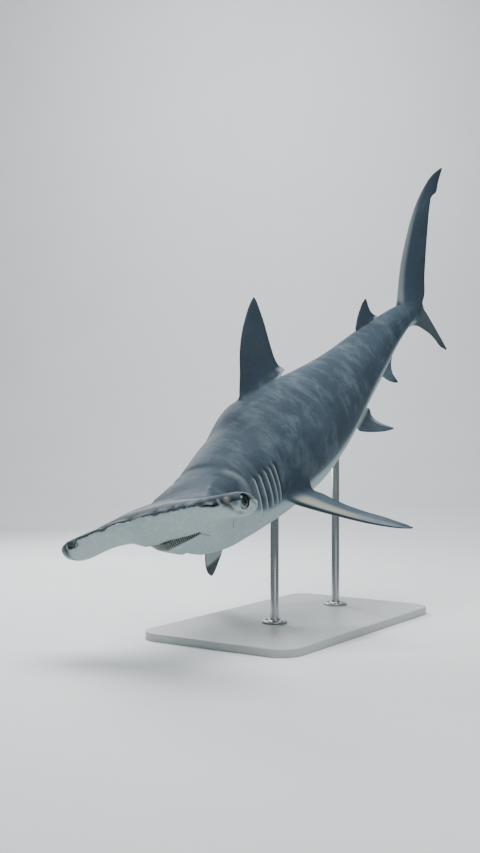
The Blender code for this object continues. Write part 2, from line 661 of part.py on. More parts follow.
def lip_tube(centres, radius, sides):
    """Points and faces of a tube along centres, tapering to both ends, with upright sections."""
    centres = np.array(centres, float)
    count = len(centres)
    along = np.gradient(centres, axis=0)
    along /= np.linalg.norm(along, axis=1)[:, None]
    side = np.cross(along, (0.0, 0.0, 1.0))
    side /= np.linalg.norm(side, axis=1)[:, None]
    up = np.cross(side, along)
    points, faces = [], []
    for k in range(count):
        thin = radius * math.sin(math.pi * (k + 0.5) / count) ** 0.5
        for c in range(sides):
            around = 2 * math.pi * c / sides
            points.append(centres[k] + thin * (side[k] * math.cos(around) + up[k] * math.sin(around)))
    for k in range(count - 1):
        for c in range(sides):
            n = (c + 1) % sides
            faces.append((k * sides + c, k * sides + n, (k + 1) * sides + n, (k + 1) * sides + c))
    faces += [tuple(range(sides)), tuple(range((count - 1) * sides, count * sides))]
    return points, faces


# Details of the head. The eye's place is its span, station and height, and the lid is a ring round it.
EYE_SPAN, EYE_STATION, EYE_DROP, EYE_RADIUS = 0.1135, 0.0229, -0.0158, 0.0105
EYE_COLUMNS, EYE_ROWS = 18, 12
LID_SPAN, LID_RADIUS, LID_THICKNESS, LID_RINGS, LID_SIDES = 0.1200, 0.0088, 0.0017, 20, 6
NOSTRIL_PLACE, NOSTRIL_SIZE = (0.0985, 0.0052, -0.0112), (0.0065, 0.0040, 0.0018)
NOSTRIL_COLUMNS, NOSTRIL_ROWS = 12, 6
MOUTH_HALF_WIDTH, MOUTH_FRONT, MOUTH_SWEEP, MOUTH_CURVE, MOUTH_GAPE = 0.0360, 0.0287, 0.0273, 2.6, 0.0145
MOUTH_ROOF, MOUTH_FLOOR, MOUTH_CORNER = -0.013, -0.085, 0.004
SLOT_POINTS = 15
LIP_RADIUS, LIP_OUTSET, LIP_SINK, LIP_RINGS, LIP_SIDES = 0.0021, 0.0015, 0.0008, 19, 6
TEETH, TEETH_SPREAD, TOOTH_ROOT, TOOTH_SINK = 27, 0.92, 0.0044, 0.0022
SIDE_TOOTH_LOSS, LOWER_TOOTH_SHARE = 0.45, 0.6


def mouth_line(span, open_share):
    """Station of the upper lip at open_share 0, and of the lower lip at 1."""
    out = abs(span) / MOUTH_HALF_WIDTH
    gape = MOUTH_GAPE * math.sqrt(max(1 - out * out, MOUTH_CORNER))
    return MOUTH_FRONT + MOUTH_SWEEP * out**MOUTH_CURVE + open_share * gape


def mouth_slot():
    """Points and faces of a bent slot from under the head up to the roof of the mouth."""
    across = MOUTH_HALF_WIDTH * np.sin(np.linspace(-math.pi / 2, math.pi / 2, SLOT_POINTS))
    outline = [(a, mouth_line(a, 0)) for a in across] + [(a, mouth_line(a, 1)) for a in across[::-1]]
    n = len(outline)
    points = [(a, s, z) for z in (MOUTH_ROOF, MOUTH_FLOOR) for a, s in outline]
    faces = []
    for level in (0, n):
        for k in range(n // 2 - 1):
            faces.append((level + k, level + k + 1, level + n - 2 - k, level + n - 1 - k))
    for k in range(n):
        following = (k + 1) % n
        faces.append((k, following, n + following, n + k))
    return points, faces


def tooth(span, upper, underside):
    """Points and faces of a pointed tooth with its root sunk in the jaw inside the lip."""
    inward = 1 if upper else -1
    station = mouth_line(span, 0 if upper else 1)
    out = abs(span) / MOUTH_HALF_WIDTH
    size = (1 - SIDE_TOOTH_LOSS * out * out) / UNIT_LENGTH
    slope = MOUTH_CURVE * MOUTH_SWEEP * out ** (MOUTH_CURVE - 1) / MOUTH_HALF_WIDTH * (1 if span > 0 else -1)
    along = np.array((1.0, slope, 0.0)) / math.hypot(1, slope)
    across = np.array((-along[1], along[0], 0.0)) * inward
    root = np.array((span, station, underside(span, station) + TOOTH_ROOT)) - across * TOOTH_SINK
    half = along * TOOTH_WIDTH / 2 * size
    rise = np.array((0.0, 0.0, TOOTH_SINK))
    reach = TOOTH_LENGTH * size * (1.0 if upper else LOWER_TOOTH_SHARE)
    tip = root + across * 2 * TOOTH_SINK - np.array((0.0, 0.0, reach))
    points = [root - half - rise, root + half - rise, root + half + rise, root - half + rise, tip]
    return points, [(0, 1, 2, 3), (0, 1, 4), (1, 2, 4), (2, 3, 4), (3, 0, 4)]


def lip(open_share, underside):
    """Points and faces of a lip, half sunk along the edge of the mouth."""
    offset = (open_share - 0.5) * LIP_OUTSET
    line = []
    for span in np.linspace(-1, 1, LIP_RINGS) * MOUTH_HALF_WIDTH:
        station = mouth_line(span, open_share) + offset
        line.append((span, station, underside(span, station) + LIP_SINK))
    return lip_tube(line, LIP_RADIUS, LIP_SIDES)


def build_head():
    head = Solid()
    first, last = WING_CUTS
    for a in range(first, last):
        for m in range(HAMMER_POINTS):
            behind = HOLE_START <= m < HAMMER_POINTS - HOLE_START
            if not (behind and FIRST_NECK_SPAN <= a < LAST_NECK_SPAN):
                n = (m + 1) % HAMMER_POINTS
                corners = ("hammer", a, m), ("hammer", a, n), ("hammer", a + 1, n), ("hammer", a + 1, m)
                head.quad(*corners, SPANS[a] >= 0)
    for a in WING_CUTS:
        head.cap([("hammer", a, m) for m in range(HAMMER_POINTS)])
    cut = ring_at(HEAD_CUT)
    head.band(neck_keys(), tube_keys(0))
    head.tube(0, cut, [])
    head.cap(tube_keys(cut))
    underside = head.underside()
    solid = grown_object("head", (head.points, head.faces), SKIN)
    combine(solid, [grown_object("slot", mouth_slot(), SKIN)], "DIFFERENCE")
    across = np.linspace(-TEETH_SPREAD, TEETH_SPREAD, TEETH) * MOUTH_HALF_WIDTH
    shapes = [tooth(a, True, underside) for a in across]
    shapes += [tooth(a, False, underside) for a in (across[1:] + across[:-1]) / 2]
    shapes += [lip(open_share, underside) for open_share in (0, 1)]
    combine(solid, [grown_object("grown", shape, SKIN) for shape in shapes], "UNION")


def build_wing(prefix, side):
    """One side of the hammer, with its eye, lids and nostril. Side is 1 on the left."""
    wing = Solid()
    cut, tip = (WING_CUTS[1], len(SPANS) - 1) if side > 0 else (WING_CUTS[0], 0)
    loops = [[("hammer", a, m) for m in range(HAMMER_POINTS)] for a in range(cut, tip + side, side)]
    wing.move(loops[0], (side, 0, 0))
    for loop, following in zip(loops, loops[1:]):
        wing.band(loop, following)
    wing.cap(loops[0])
    wing.cap(loops[-1])
    solid = grown_object(prefix + "_hammer_wing", (wing.points, wing.faces), SKIN)
    middle = (side * LID_SPAN, EYE_STATION, EYE_DROP)
    lids = ring_tube(middle, LID_RADIUS, LID_THICKNESS, LID_RINGS, LID_SIDES)
    combine(solid, [grown_object("lids", lids, SKIN)], "UNION")
    centre = (side * EYE_SPAN, EYE_STATION, EYE_DROP)
    socket = ball(centre, (EYE_RADIUS + CUT_GAP / UNIT_LENGTH,) * 3, EYE_COLUMNS, EYE_ROWS)
    place = (side * NOSTRIL_PLACE[0], *NOSTRIL_PLACE[1:])
    nostril = ball(place, NOSTRIL_SIZE, NOSTRIL_COLUMNS, NOSTRIL_ROWS)
    combine(solid, [grown_object("cutter", shape, SKIN) for shape in (socket, nostril)], "DIFFERENCE")
    grown_object(prefix + "_eye", ball(centre, (EYE_RADIUS,) * 3, EYE_COLUMNS, EYE_ROWS), EYE)


def build_length(name, first, last, openings):
    """A length of the body between two rings, with the stubs of the fins that grow from it."""
    length = Solid()
    length.move(tube_keys(first), (0, 1, 0))
    length.cap(tube_keys(first))
    length.tube(first, last, openings)
    length.cap(tube_keys(last))
    return grown_object(name, (length.points, length.faces), SKIN)


def build_fin(name):
    grown = GROWN[name]
    fin = Solid()
    loops = [[(name, r, k) for k in range(grown["count"])] for r in range(len(FIN_ROWS) + 1)]
    fin.move(loops[0], fin_direction(FINS[name]))
    for loop, following in zip(loops, loops[1:]):
        fin.band(loop, following)
    fin.cap(loops[0])
    fin.cap(loops[-1])
    grown_object(name, (fin.points, fin.faces), SKIN)


def upright_prism(outline, low, high):
    """Points and faces of an upright prism on an outline."""
    n = len(outline)
    points = [(x, y, z) for z in (low, high) for x, y in outline]
    sides = [(k, (k + 1) % n, n + (k + 1) % n, n + k) for k in range(n)]
    return points, [tuple(range(n)), tuple(range(n, 2 * n)), *sides]


def circle(x, y, radius):
    turns = [2 * math.pi * k / ROD_SIDES for k in range(ROD_SIDES)]
    return [(x + radius * math.cos(t), y + radius * math.sin(t)) for t in turns]


def base_outline():
    """Outline of the base: a rectangle with round corners."""
    outline = []
    for quarter, (sx, sy) in enumerate(((1, 1), (-1, 1), (-1, -1), (1, -1))):
        x, y = sx * (BASE_SIZE[0] / 2 - BASE_CORNER), sy * (BASE_SIZE[1] / 2 - BASE_CORNER)
        for k in range(CORNER_FACETS + 1):
            turn = math.pi / 2 * (quarter + k / CORNER_FACETS)
            outline.append((x + BASE_CORNER * math.cos(turn), y + BASE_CORNER * math.sin(turn)))
    return outline


def build_stand(carried):
    """The flat base and its rods. Carried is (rod name, length of body that the rod is let into) pairs."""
    base = solid_object("stand_base", *upright_prism(base_outline(), 0, BASE_SIZE[2]), BOARD)
    sockets = []
    for station, (name, body) in zip(ROD_STATIONS, carried):
        x, y, height = posed([(0, station, 0)])[0]
        top = height - ROD_TOP_UNDER_SPINE
        solid_object(name, *upright_prism(circle(x, y, ROD_RADIUS), ROD_FOOT, top), STEEL)
        hole = upright_prism(circle(x, y, ROD_RADIUS + CUT_GAP), ROD_FOOT - CUT_GAP, top + CUT_GAP)
        combine(body, [solid_object("socket", *hole, BOARD)], "DIFFERENCE")
        sockets.append(solid_object("socket", *hole, BOARD))
    combine(base, sockets, "DIFFERENCE")


def main():
    build_head()
    build_wing("left", 1)
    build_wing("right", -1)
    build_length("gills", ring_at(HEAD_CUT), ring_at(GILL_CUT), [])
    front_fins = ["first_dorsal_fin", "left_pectoral_fin", "right_pectoral_fin"]
    front_trunk = build_length("front_trunk", ring_at(GILL_CUT), ring_at(SHOULDER_CUT), front_fins)
    rear_fins = ["left_pelvic_fin", "right_pelvic_fin"]
    rear_trunk = build_length("rear_trunk", ring_at(SHOULDER_CUT), ring_at(LOIN_CUT), rear_fins)
    build_length("tail_stalk", ring_at(LOIN_CUT), ring_at(TAIL_ROOT), ["second_dorsal_fin", "anal_fin"])
    build_length("upper_tail_lobe", FIRST_LOBE_RING - 1, LAST_RING, ["lower_tail_lobe"])
    for name in GROWN:
        build_fin(name)
    build_stand((("stand_rod_front", front_trunk), ("stand_rod_rear", rear_trunk)))


for leftover in list(bpy.data.objects):
    bpy.data.objects.remove(leftover)
SKIN = principled("shark_skin", (0.17, 0.215, 0.24), 0.42)
EYE = principled("wet_eye", (0.015, 0.015, 0.018), 0.06)
BOARD = principled("stand_board", (0.62, 0.62, 0.60), 0.45)
STEEL = principled("stand_steel", (0.55, 0.55, 0.56), 0.30, 1.0)
main()
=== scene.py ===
"""Looks of the hammerhead shark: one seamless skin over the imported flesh, wet eyes, teeth and its display stand."""

import math

import bmesh
import bpy
import numpy as np
from mathutils import Matrix, Vector
from mathutils.bvhtree import BVHTree
from mathutils.kdtree import KDTree


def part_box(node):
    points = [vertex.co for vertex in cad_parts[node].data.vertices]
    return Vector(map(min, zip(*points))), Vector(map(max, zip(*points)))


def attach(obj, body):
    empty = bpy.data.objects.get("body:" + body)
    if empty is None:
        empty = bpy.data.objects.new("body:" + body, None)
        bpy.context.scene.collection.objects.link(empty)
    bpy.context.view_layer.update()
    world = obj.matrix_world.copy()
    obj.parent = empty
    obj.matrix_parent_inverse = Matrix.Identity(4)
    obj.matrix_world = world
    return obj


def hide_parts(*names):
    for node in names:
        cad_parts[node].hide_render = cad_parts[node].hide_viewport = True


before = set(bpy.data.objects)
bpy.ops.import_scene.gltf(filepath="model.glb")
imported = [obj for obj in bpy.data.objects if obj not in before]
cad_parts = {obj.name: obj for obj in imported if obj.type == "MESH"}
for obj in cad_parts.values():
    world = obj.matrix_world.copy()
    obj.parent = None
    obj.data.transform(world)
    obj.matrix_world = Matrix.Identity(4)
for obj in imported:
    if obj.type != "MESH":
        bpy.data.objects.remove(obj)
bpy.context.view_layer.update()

# Driving dimensions in metres. The body's tables below are in shares of UNIT_LENGTH, with the tail's root at 0.70.
UNIT_LENGTH = 3.00
ROD_STATION = 0.310
ROD_TOP_UNDER_SPINE = 0.110

# Points round and along the skin
HAMMER_POINTS = 96
HOLE_START = 27
HOLE_POINTS = HAMMER_POINTS - 2 * HOLE_START
NECK_COLUMNS = 30
WING_SPANS = 36
NECK_RINGS = 30
LOBE_RINGS = 48
FIN_RINGS = 34
TUBE_POINTS = 2 * (NECK_COLUMNS + HOLE_POINTS)
HALF_COLUMNS = 3
WING_CROWDING = 1.6
SPINE_STEPS, SPINE_LAST = 400, 0.9999
MOUTH_COLUMNS, LIP_COLUMNS, LID_POINTS = 41, 61, 64

# Softening into fillets: how many rings of the neck and of a fin's root, their neighbours, and the passes
SOFT_NECK_RINGS, SOFT_ROOT_RINGS, SOFT_NEIGHBOURS, SMOOTHING_PASSES = 8, 4, 2, 7

# Attitude in the water, in degrees: nose down, and banked with the left side up
NOSE_DOWN = 19.7
BANK = 7.6

# Bends of the spine, as (station, degrees) against the attitude at station 0.27
SPINE_YAW = ((0.0, 4.0), (0.13, 6.0), (0.27, 0.0), (0.45, 2.0), (0.62, -12.0), (0.75, -21.0))
SPINE_PITCH = (
    (0.0, -17.5), (0.06, -16.5), (0.13, -5.0), (0.20, 1.5), (0.27, 0.0), (0.45, 5.4), (0.62, 17.0),
    (0.75, 8.0),
)
SPINE_ROLL = ((0.0, -7.5), (0.06, -6.0), (0.13, 0.0), (0.62, 0.0), (0.75, 2.0))

# Body outline against the spine line
BACK_HEIGHT = (
    (0.03, 0.013), (0.065, 0.020), (0.10, 0.024), (0.14, 0.031), (0.18, 0.041), (0.222, 0.054),
    (0.268, 0.074), (0.33, 0.074), (0.42, 0.065), (0.52, 0.051), (0.60, 0.039), (0.65, 0.029), (0.70, 0.020),
)
BELLY_DEPTH = (
    (0.03, 0.030), (0.065, 0.043), (0.10, 0.057), (0.14, 0.066), (0.18, 0.072), (0.222, 0.075),
    (0.268, 0.077), (0.33, 0.077), (0.42, 0.068), (0.52, 0.051), (0.60, 0.039), (0.65, 0.028), (0.70, 0.018),
)
HALF_WIDTH = (
    (0.03, 0.050), (0.10, 0.047), (0.14, 0.048), (0.18, 0.053), (0.222, 0.059), (0.268, 0.065),
    (0.33, 0.062), (0.42, 0.053), (0.52, 0.040), (0.60, 0.028), (0.65, 0.020), (0.70, 0.014),
)
# How far the sides lean in towards the back and the throat, and how boxy the section is below 1
ROOF = ((0.03, 0.0), (0.10, 0.08), (0.16, 0.18), (0.25, 0.27), (0.30, 0.20), (0.42, 0.08), (0.70, 0.0))
THROAT = ((0.03, 0.40), (0.10, 0.32), (0.15, 0.12), (0.20, 0.0), (0.70, 0.0))
SLOPE_POWER = 1.5
SQUARENESS = (
    (0.03, 0.55), (0.065, 0.60), (0.10, 0.72), (0.14, 0.82), (0.22, 0.88), (0.30, 0.94), (0.70, 1.0),
)

# Hammer of the head, against the distance from the midline. TIP_MIDDLE is the station where its tip closes.
HALF_SPAN = 0.1225
TIP_START = 0.100
TIP_MIDDLE = 0.028
NECK_HALF_WIDTH = 0.050
TIP_DROOP = 0.012
CENTRE_SAG, SAG_SPAN = 0.004, 0.100
TIP_FRONT_ROUNDING, TIP_REAR_ROUNDING, TIP_THINNING, TIP_CLOSING = 0.45, 0.50, 0.55, 0.999
FRONT_EDGE = ((0.0, 0.004), (0.018, 0.001), (0.05, 0.000), (0.085, 0.002), (0.1225, 0.007))
REAR_EDGE = (
    (0.0, 0.130), (0.035, 0.128), (0.05, 0.108), (0.058, 0.092), (0.07, 0.078), (0.09, 0.068),
    (0.1225, 0.058),
)
HAMMER_TOP = ((0.0, 0.0220), (0.03, 0.0200), (0.05, 0.0140), (0.07, 0.0085), (0.09, 0.0080), (0.1225, 0.0105))
HAMMER_BELLY = ((0.0, 0.0400), (0.03, 0.0255), (0.05, 0.0155), (0.07, 0.0145), (0.09, 0.0158), (0.1225, 0.018))
WING_TILT = 0.10
FRONT_SHARPNESS = ((0.0, 1.7), (0.05, 1.4), (0.1225, 1.1))

# Gills
NECK_END = 0.140
GILL_CUT = 0.222
GILL_SLITS = (0.1700, 0.1815, 0.1930, 0.2030, 0.2120)
GILL_EDGE = 0.0008
GILL_LIFT = 0.0015
GILL_LEAN = 0.010
GILL_LEAN_FADE = 0.025
GILL_TOP, GILL_BOTTOM, GILL_FADE = math.radians(80), math.radians(128), math.radians(9)

# Rows of skin from the neck to the gills, over a gill's flap, and at its slit in shares of GILL_EDGE
NECK_ROWS, GILL_LEAD, FLAP_ROWS = 9, 0.004, 5
SLIT_ROWS = (-1.5, -1, -0.5, 0, 0.5, 1, 1.5)

# Rows of skin between stations: (end station, rows)
ROWS = (
    (GILL_CUT, 5), (0.268, 14), (0.278, 3), (0.365, 26), (0.400, 9), (0.475, 18), (0.520, 13),
    (0.600, 18), (0.636, 11), (0.648, 4), (0.700, 15),
)

# Upper lobe of the tail, as (share of its length, leading edge's y and z, trailing edge's, half thickness)
LOBE = (
    (0.00, 0.7000, 0.0200, 0.7000, -0.0180, 0.0140),
    (0.05, 0.7008, 0.0212, 0.7109, -0.0178, 0.0125),
    (0.10, 0.7020, 0.0235, 0.7213, -0.0151, 0.0110),
    (0.20, 0.7058, 0.0300, 0.7392, -0.0054, 0.0085),
    (0.30, 0.7132, 0.0407, 0.7564, 0.0082, 0.0060),
    (0.40, 0.7265, 0.0593, 0.7678, 0.0294, 0.0051),
    (0.50, 0.7434, 0.0813, 0.7811, 0.0513, 0.0044),
    (0.60, 0.7642, 0.1037, 0.7957, 0.0745, 0.0038),
    (0.70, 0.7868, 0.1250, 0.8111, 0.0980, 0.0032),
    (0.80, 0.8110, 0.1430, 0.8288, 0.1237, 0.0026),
    (0.85, 0.8252, 0.1513, 0.8402, 0.1360, 0.0023),
    (0.88, 0.8338, 0.1557, 0.8503, 0.1372, 0.0021),
    (0.93, 0.8478, 0.1619, 0.8607, 0.1481, 0.0017),
    (0.97, 0.8623, 0.1657, 0.8718, 0.1583, 0.0012),
    (1.00, 0.8782, 0.1670, 0.8794, 0.1647, 0.0007),
)
TAIL_ROOT, LOWER_LOBE_END = 0.70, 0.25
BLADE_GROWTH, BLADE_SHARPNESS = 0.3, 0.5

# Fins. An outline is (share of the height, leading edge, trailing edge) from the front of the root.
# A root is (first station, last station) at an angle round the body, and lean is how far the fin points down
# from level. Thickness is half of the root's, and twist turns the trailing edge down.
ROOT_SHARE, ROOT_RINGS, ROOT_CURVE = 0.035, 5, 1.6
FIN_TAPER, TAPER_POWER = 0.80, 0.8
FRONT_FULLNESS, REAR_THINNING = 1.20, 0.75
FULL_CHORD = 0.030
BULGE_HEIGHT = 0.25
FIRST_DORSAL = {
    "root": (0.268, 0.365), "angle": 0, "lean": -90, "height": 0.1095, "thickness": 0.0066, "outline": (
        (0.0, 0.000, 0.097), (0.035, 0.001, 0.131), (0.07, 0.003, 0.118), (0.13, 0.007, 0.108),
        (0.27, 0.0165, 0.1035), (0.5, 0.0305, 0.105), (0.7, 0.049, 0.107), (0.84, 0.068, 0.1065),
        (0.94, 0.085, 0.106), (1.0, 0.100, 0.103),
    ),
}
SECOND_DORSAL = {
    "root": (0.600, 0.648), "angle": 0, "lean": -90, "height": 0.0346, "thickness": 0.0036, "outline": (
        (0.0, 0.000, 0.048), (0.04, 0.000, 0.060), (0.10, 0.001, 0.054), (0.2, 0.005, 0.050),
        (0.45, 0.015, 0.0475), (0.62, 0.0235, 0.048), (0.74, 0.030, 0.049), (0.92, 0.041, 0.0505),
        (1.0, 0.0485, 0.0505), ),
}
ANAL = {
    "root": (0.600, 0.636), "angle": 180, "lean": 90, "height": 0.040, "thickness": 0.0032, "outline": (
        (0.0, 0.000, 0.036), (0.05, 0.001, 0.043), (0.12, 0.003, 0.044), (0.23, 0.006, 0.036),
        (0.4, 0.009, 0.030), (0.61, 0.014, 0.0275), (0.75, 0.018, 0.028), (0.89, 0.023, 0.0288),
        (1.0, 0.0275, 0.0292), ),
}
LEFT_PELVIC = {
    "root": (0.475, 0.520), "angle": 150, "lean": 42, "height": 0.048, "thickness": 0.0040, "outline": (
        (0.0, 0.000, 0.045), (0.05, -0.001, 0.050), (0.12, -0.002, 0.047), (0.25, 0.001, 0.038),
        (0.5, 0.010, 0.034), (0.8, 0.023, 0.036), (1.0, 0.035, 0.0385),
    ),
}
LEFT_PECTORAL = {
    "root": (0.222, 0.278), "angle": 122, "lean": 30.8, "height": 0.129, "thickness": 0.0068, "twist": 12,
    "sweep": 0.081, "outline": (
        (0.0, 0.000, 0.056), (0.04, -0.003, 0.061), (0.10, -0.007, 0.059), (0.2, -0.011, 0.050),
        (0.4, -0.015, 0.034), (0.6, -0.016, 0.025), (0.7, -0.0155, 0.0225), (0.83, -0.012, 0.0165),
        (0.93, -0.007, 0.0115), (1.0, 0.001, 0.006),
    ),
}
LOWER_LOBE = {
    "angle": 180, "lean": 90, "height": 0.094, "thickness": 0.0036, "half_columns": 6, "outline": (
        (0.0, 0.000, 0.0513), (0.126, 0.016, 0.0496), (0.2, 0.0228, 0.0515), (0.35, 0.0325, 0.0545),
        (0.52, 0.0423, 0.058), (0.66, 0.0482, 0.0606), (0.85, 0.0548, 0.0642), (1.0, 0.0645, 0.0668),
    ),
}
FINS = {
    "lower_tail_lobe": LOWER_LOBE,
    "first_dorsal_fin": FIRST_DORSAL,
    "second_dorsal_fin": SECOND_DORSAL,
    "anal_fin": ANAL,
    "left_pelvic_fin": LEFT_PELVIC,
    "right_pelvic_fin": {**LEFT_PELVIC, "angle": 210, "lean": 138},
    "left_pectoral_fin": LEFT_PECTORAL,
    "right_pectoral_fin": {**LEFT_PECTORAL, "angle": 238, "lean": 133.5, "height": 0.151, "sweep": 0.069},
}

# Head details, in shares. The lid is a thin rim round the eye's opening. The eye is a little smaller than its
# socket, and its cornea rises from CORNEA_START, as a share of the radius.
HEAD_END = 0.12
EYE_SPAN, EYE_STATION, EYE_DROP, EYE_RADIUS = 0.1145, 0.0236, -0.0151, 0.0090
EYE_FIT, CORNEA_RISE, CORNEA_START = 0.99, 0.04, 0.55
LID_RADIUS, LID_THICKNESS, LID_SINK, LID_LEAST_SPAN, PIT_CLEARANCE = 0.0082, 0.0009, 0.4, 0.1172, 0.004
NOSTRIL_PLACE, NOSTRIL_SIZE = (0.0996, 0.0046, -0.0116), (0.0030, 0.0036, 0.0021)
MOUTH_HALF_WIDTH, MOUTH_FRONT, MOUTH_SWEEP, MOUTH_CURVE, MOUTH_GAPE = 0.0360, 0.0287, 0.0273, 2.6, 0.0145
MOUTH_ROOF, MOUTH_FLOOR, MOUTH_CORNER, MOUTH_SIDE_GAPE = -0.013, -0.085, 0.004, 0.60
LIP_RADIUS, LIP_OUTSET, LIP_SINK = 0.0014, 0.0010, 0.0007

# Rows of teeth: (share of the gape, height above the lip and tooth's length in metres), and where they point
UPPER_TEETH = ((0.06, 0.004, 0.0115), (0.18, 0.011, 0.0090))
LOWER_TEETH = ((0.93, 0.002, 0.0085), (0.88, 0.008, 0.0080), (0.83, 0.014, 0.0070), (0.78, 0.020, 0.0060))
TOOTH_SPACING, TOOTH_WIDTH = 0.0066, 0.0048
TEETH_SPREAD, SIDE_TOOTH_LOSS, TOOTH_SEED = 0.92, 0.45, 7
UPPER_AIM, LOWER_AIM = (0.0, 0.40, -0.92), (0.0, -0.45, 0.89)

# Wavy front edge of the hammer. The scallops meet at SCALLOP_ENDS, as spans. They swell forwards at the edge and
# upwards just over it, in metres, and are set back by their mean. One as long as FULL_SCALLOP has the full height.
SCALLOP_ENDS = (-0.112, -0.094, -0.070, -0.044, -0.010, 0.026, 0.050, 0.063, 0.084, 0.106)
SCALLOP_FORWARD, FORWARD_REACH = 0.0065, 0.018
SCALLOP_RISE, RISE_MIDDLE, RISE_REACH = 0.0062, 0.006, 0.014
SCALLOP_MEAN, SCALLOP_LEAN, SCALLOP_FULLNESS, FULL_SCALLOP = 0.45, 0.85, 0.6, 0.036
SCALLOP_LIMIT, SCALLOP_FADE = 0.116, 0.010

# Fold just under the scallops, darkened with painted shade, and the low ridge over it with a painted highlight,
# in metres against the span. The fold follows the scallops by FOLD_FOLLOWS, and wanders by waves of
# (height, pace, start).
EDGE_FOLD = (
    (-0.1225, -0.006), (-0.100, -0.018), (-0.091, -0.009), (-0.081, -0.001), (-0.065, 0.001), (-0.047, -0.001),
    (-0.038, 0.004), (-0.028, 0.006), (-0.015, 0.005), (0.0, 0.001), (0.026, -0.003), (0.040, -0.006),
    (0.063, -0.007), (0.078, -0.010), (0.087, -0.016), (0.094, -0.019), (0.101, -0.016), (0.1225, -0.006),
)
EDGE_FOLD_STRENGTH = (
    (-0.107, 0.0), (-0.098, 0.9), (-0.080, 0.7), (-0.030, 0.8), (-0.017, 0.7), (-0.010, 0.15), (0.020, 0.15),
    (0.030, 0.75), (0.075, 0.9), (0.099, 1.0), (0.105, 0.0),
)
EDGE_FOLD_WIDTH = ((-0.1225, 0.0040), (-0.080, 0.0030), (0.070, 0.0030), (0.086, 0.0042), (0.1225, 0.0042))
EDGE_FOLD_DEPTH, FOLD_FOLLOWS = 0.0036, 0.0025
FOLD_RAGGEDNESS = ((0.0011, 430, 0.0), (0.0008, 970, 1.3))
FOLD_UNEVENNESS = (0.15, 610, 0.7)
RIDGE_PLACE, RIDGE_WIDTH, RIDGE_HEIGHT = 2.8, 1.3, 0.0026

# Bands painted behind the fold, a line of painted highlight and a band of painted shade: (mark, strength, metres
# from the fold, reach, span where it ends, span where it is full)
EDGE_BANDS = (("light", 0.32, 0.066, 0.016, 0.095, 0.075), ("dusk", 0.55, 0.030, 0.020, 0.112, 0.102))
EDGE_TONE_REACH = 0.06

# Where the head's fine forms need more points: span, station and reach round them, and bands of the distance over
# the front edge in metres
FINE_PLACES = ((0.0335, 0.0695, 0.018), (0.0547, 0.0517, 0.007), (0.0425, 0.1165, 0.010))
FINE_PLACE_PASSES = 2
FINE_EDGES = ((-0.034, 0.026), (-0.026, 0.016))

# Strokes of the sculptor's tool on both sides of the head: path on the skin, half width and height in metres,
# and how much they darken the skin with painted shade in creases and hollows, lighten it with painted highlights
# on ridges and bulges, or yellow it. None is the height of the underside.
HEAD_STROKES = (
    (((0.1008, 0.0046, -0.0112), (0.0985, 0.0058, -0.0128), (0.0959, 0.0063, -0.0133), (0.0906, 0.0054, -0.0121),
      (0.0872, 0.0039, -0.0100)), 0.0036, -0.0032, {"fold": 0.85}),
    (((0.1034, 0.0048, -0.0088), (0.1042, 0.0058, -0.0118), (0.1044, 0.0072, -0.0142)), 0.0036, 0.0034,
     {"light": 1.1}),
    (((0.1108, 0.0072, -0.0096), (0.1126, 0.0076, -0.0104)), 0.0080, 0.0040, {"warm": 0.9, "light": 0.2}),
    (((0.1144, 0.0088, -0.0085), (0.1168, 0.0108, -0.0118), (0.1180, 0.0125, -0.0150)), 0.0085, -0.0014,
     {"fold": 0.62}),
    (((0.1078, 0.0080, -0.0138), (0.1111, 0.0087, -0.0151), (0.1115, 0.0106, -0.0174), (0.1118, 0.0132, -0.0201)),
     0.0062, -0.0018, {"fold": 0.62}),
    (((0.1070, 0.0070, -0.0108), (0.1110, 0.0080, -0.0140), (0.1160, 0.0105, -0.0145)), 0.0160, -0.0006,
     {"dusk": 0.50}),
    (((0.1085, 0.0080, -0.0150), (0.1115, 0.0100, -0.0188), (0.1128, 0.0165, -0.0240), (0.1140, 0.0240, -0.0262)),
     0.0090, -0.0012, {"dusk": 0.48}),
    (((0.1155, 0.0126, -0.0180), (0.1157, 0.0156, -0.0208)), 0.0080, 0.0030, {"light": 0.55}),
    (((0.1149, 0.0213, -0.0247), (0.1128, 0.0245, -0.0262)), 0.0040, -0.0015, {"fold": 0.35}),
    (((0.1112, 0.0155, -0.0040), (0.1150, 0.0220, -0.0046), (0.1180, 0.0245, -0.0055), (0.1202, 0.0297, -0.0068),
      (0.1215, 0.0336, -0.0091), (0.1218, 0.0394, -0.0130), (0.1205, 0.0455, -0.0165)), 0.0030, 0.0024,
     {"light": 0.55}),
    (((0.1192, 0.0146, -0.0125), (0.1204, 0.0182, -0.0086), (0.1211, 0.0235, -0.0073), (0.1217, 0.0290, -0.0093),
      (0.1220, 0.0316, -0.0150)), 0.0026, -0.0004, {"fold": 0.75}),
    (((0.1223, 0.0345, -0.0142), (0.1218, 0.0382, -0.0166), (0.1208, 0.0430, -0.0195)), 0.0045, -0.0024,
     {"fold": 0.6}),
    (((0.1216, 0.0352, -0.0200), (0.1209, 0.0385, -0.0225)), 0.0050, 0.0015, {"light": 0.3}),
    (((0.0448, 0.1152, -0.0273), (0.0402, 0.1176, -0.0356)), 0.0028, -0.0018, {"fold": 0.6}),
    (((0.0547, 0.0516, -0.0246), (0.0551, 0.0519, -0.0248)), 0.0042, -0.0012, {"fold": 0.8}),
    (((0.0345, 0.0570, None), (0.0336, 0.0660, None), (0.0317, 0.0759, None), (0.0323, 0.0800, None)), 0.0026,
     -0.0018, {"fold": 0.55}),
    (((0.0300, 0.0560, None), (0.0180, 0.0500, None), (0.0, 0.0485, None)), 0.0080, 0.0020, {"light": 0.35}),
    (((0.0290, 0.0300, None), (0.0180, 0.0235, None), (0.0, 0.0225, None)), 0.0090, 0.0022, {"warm": 0.12}),
)
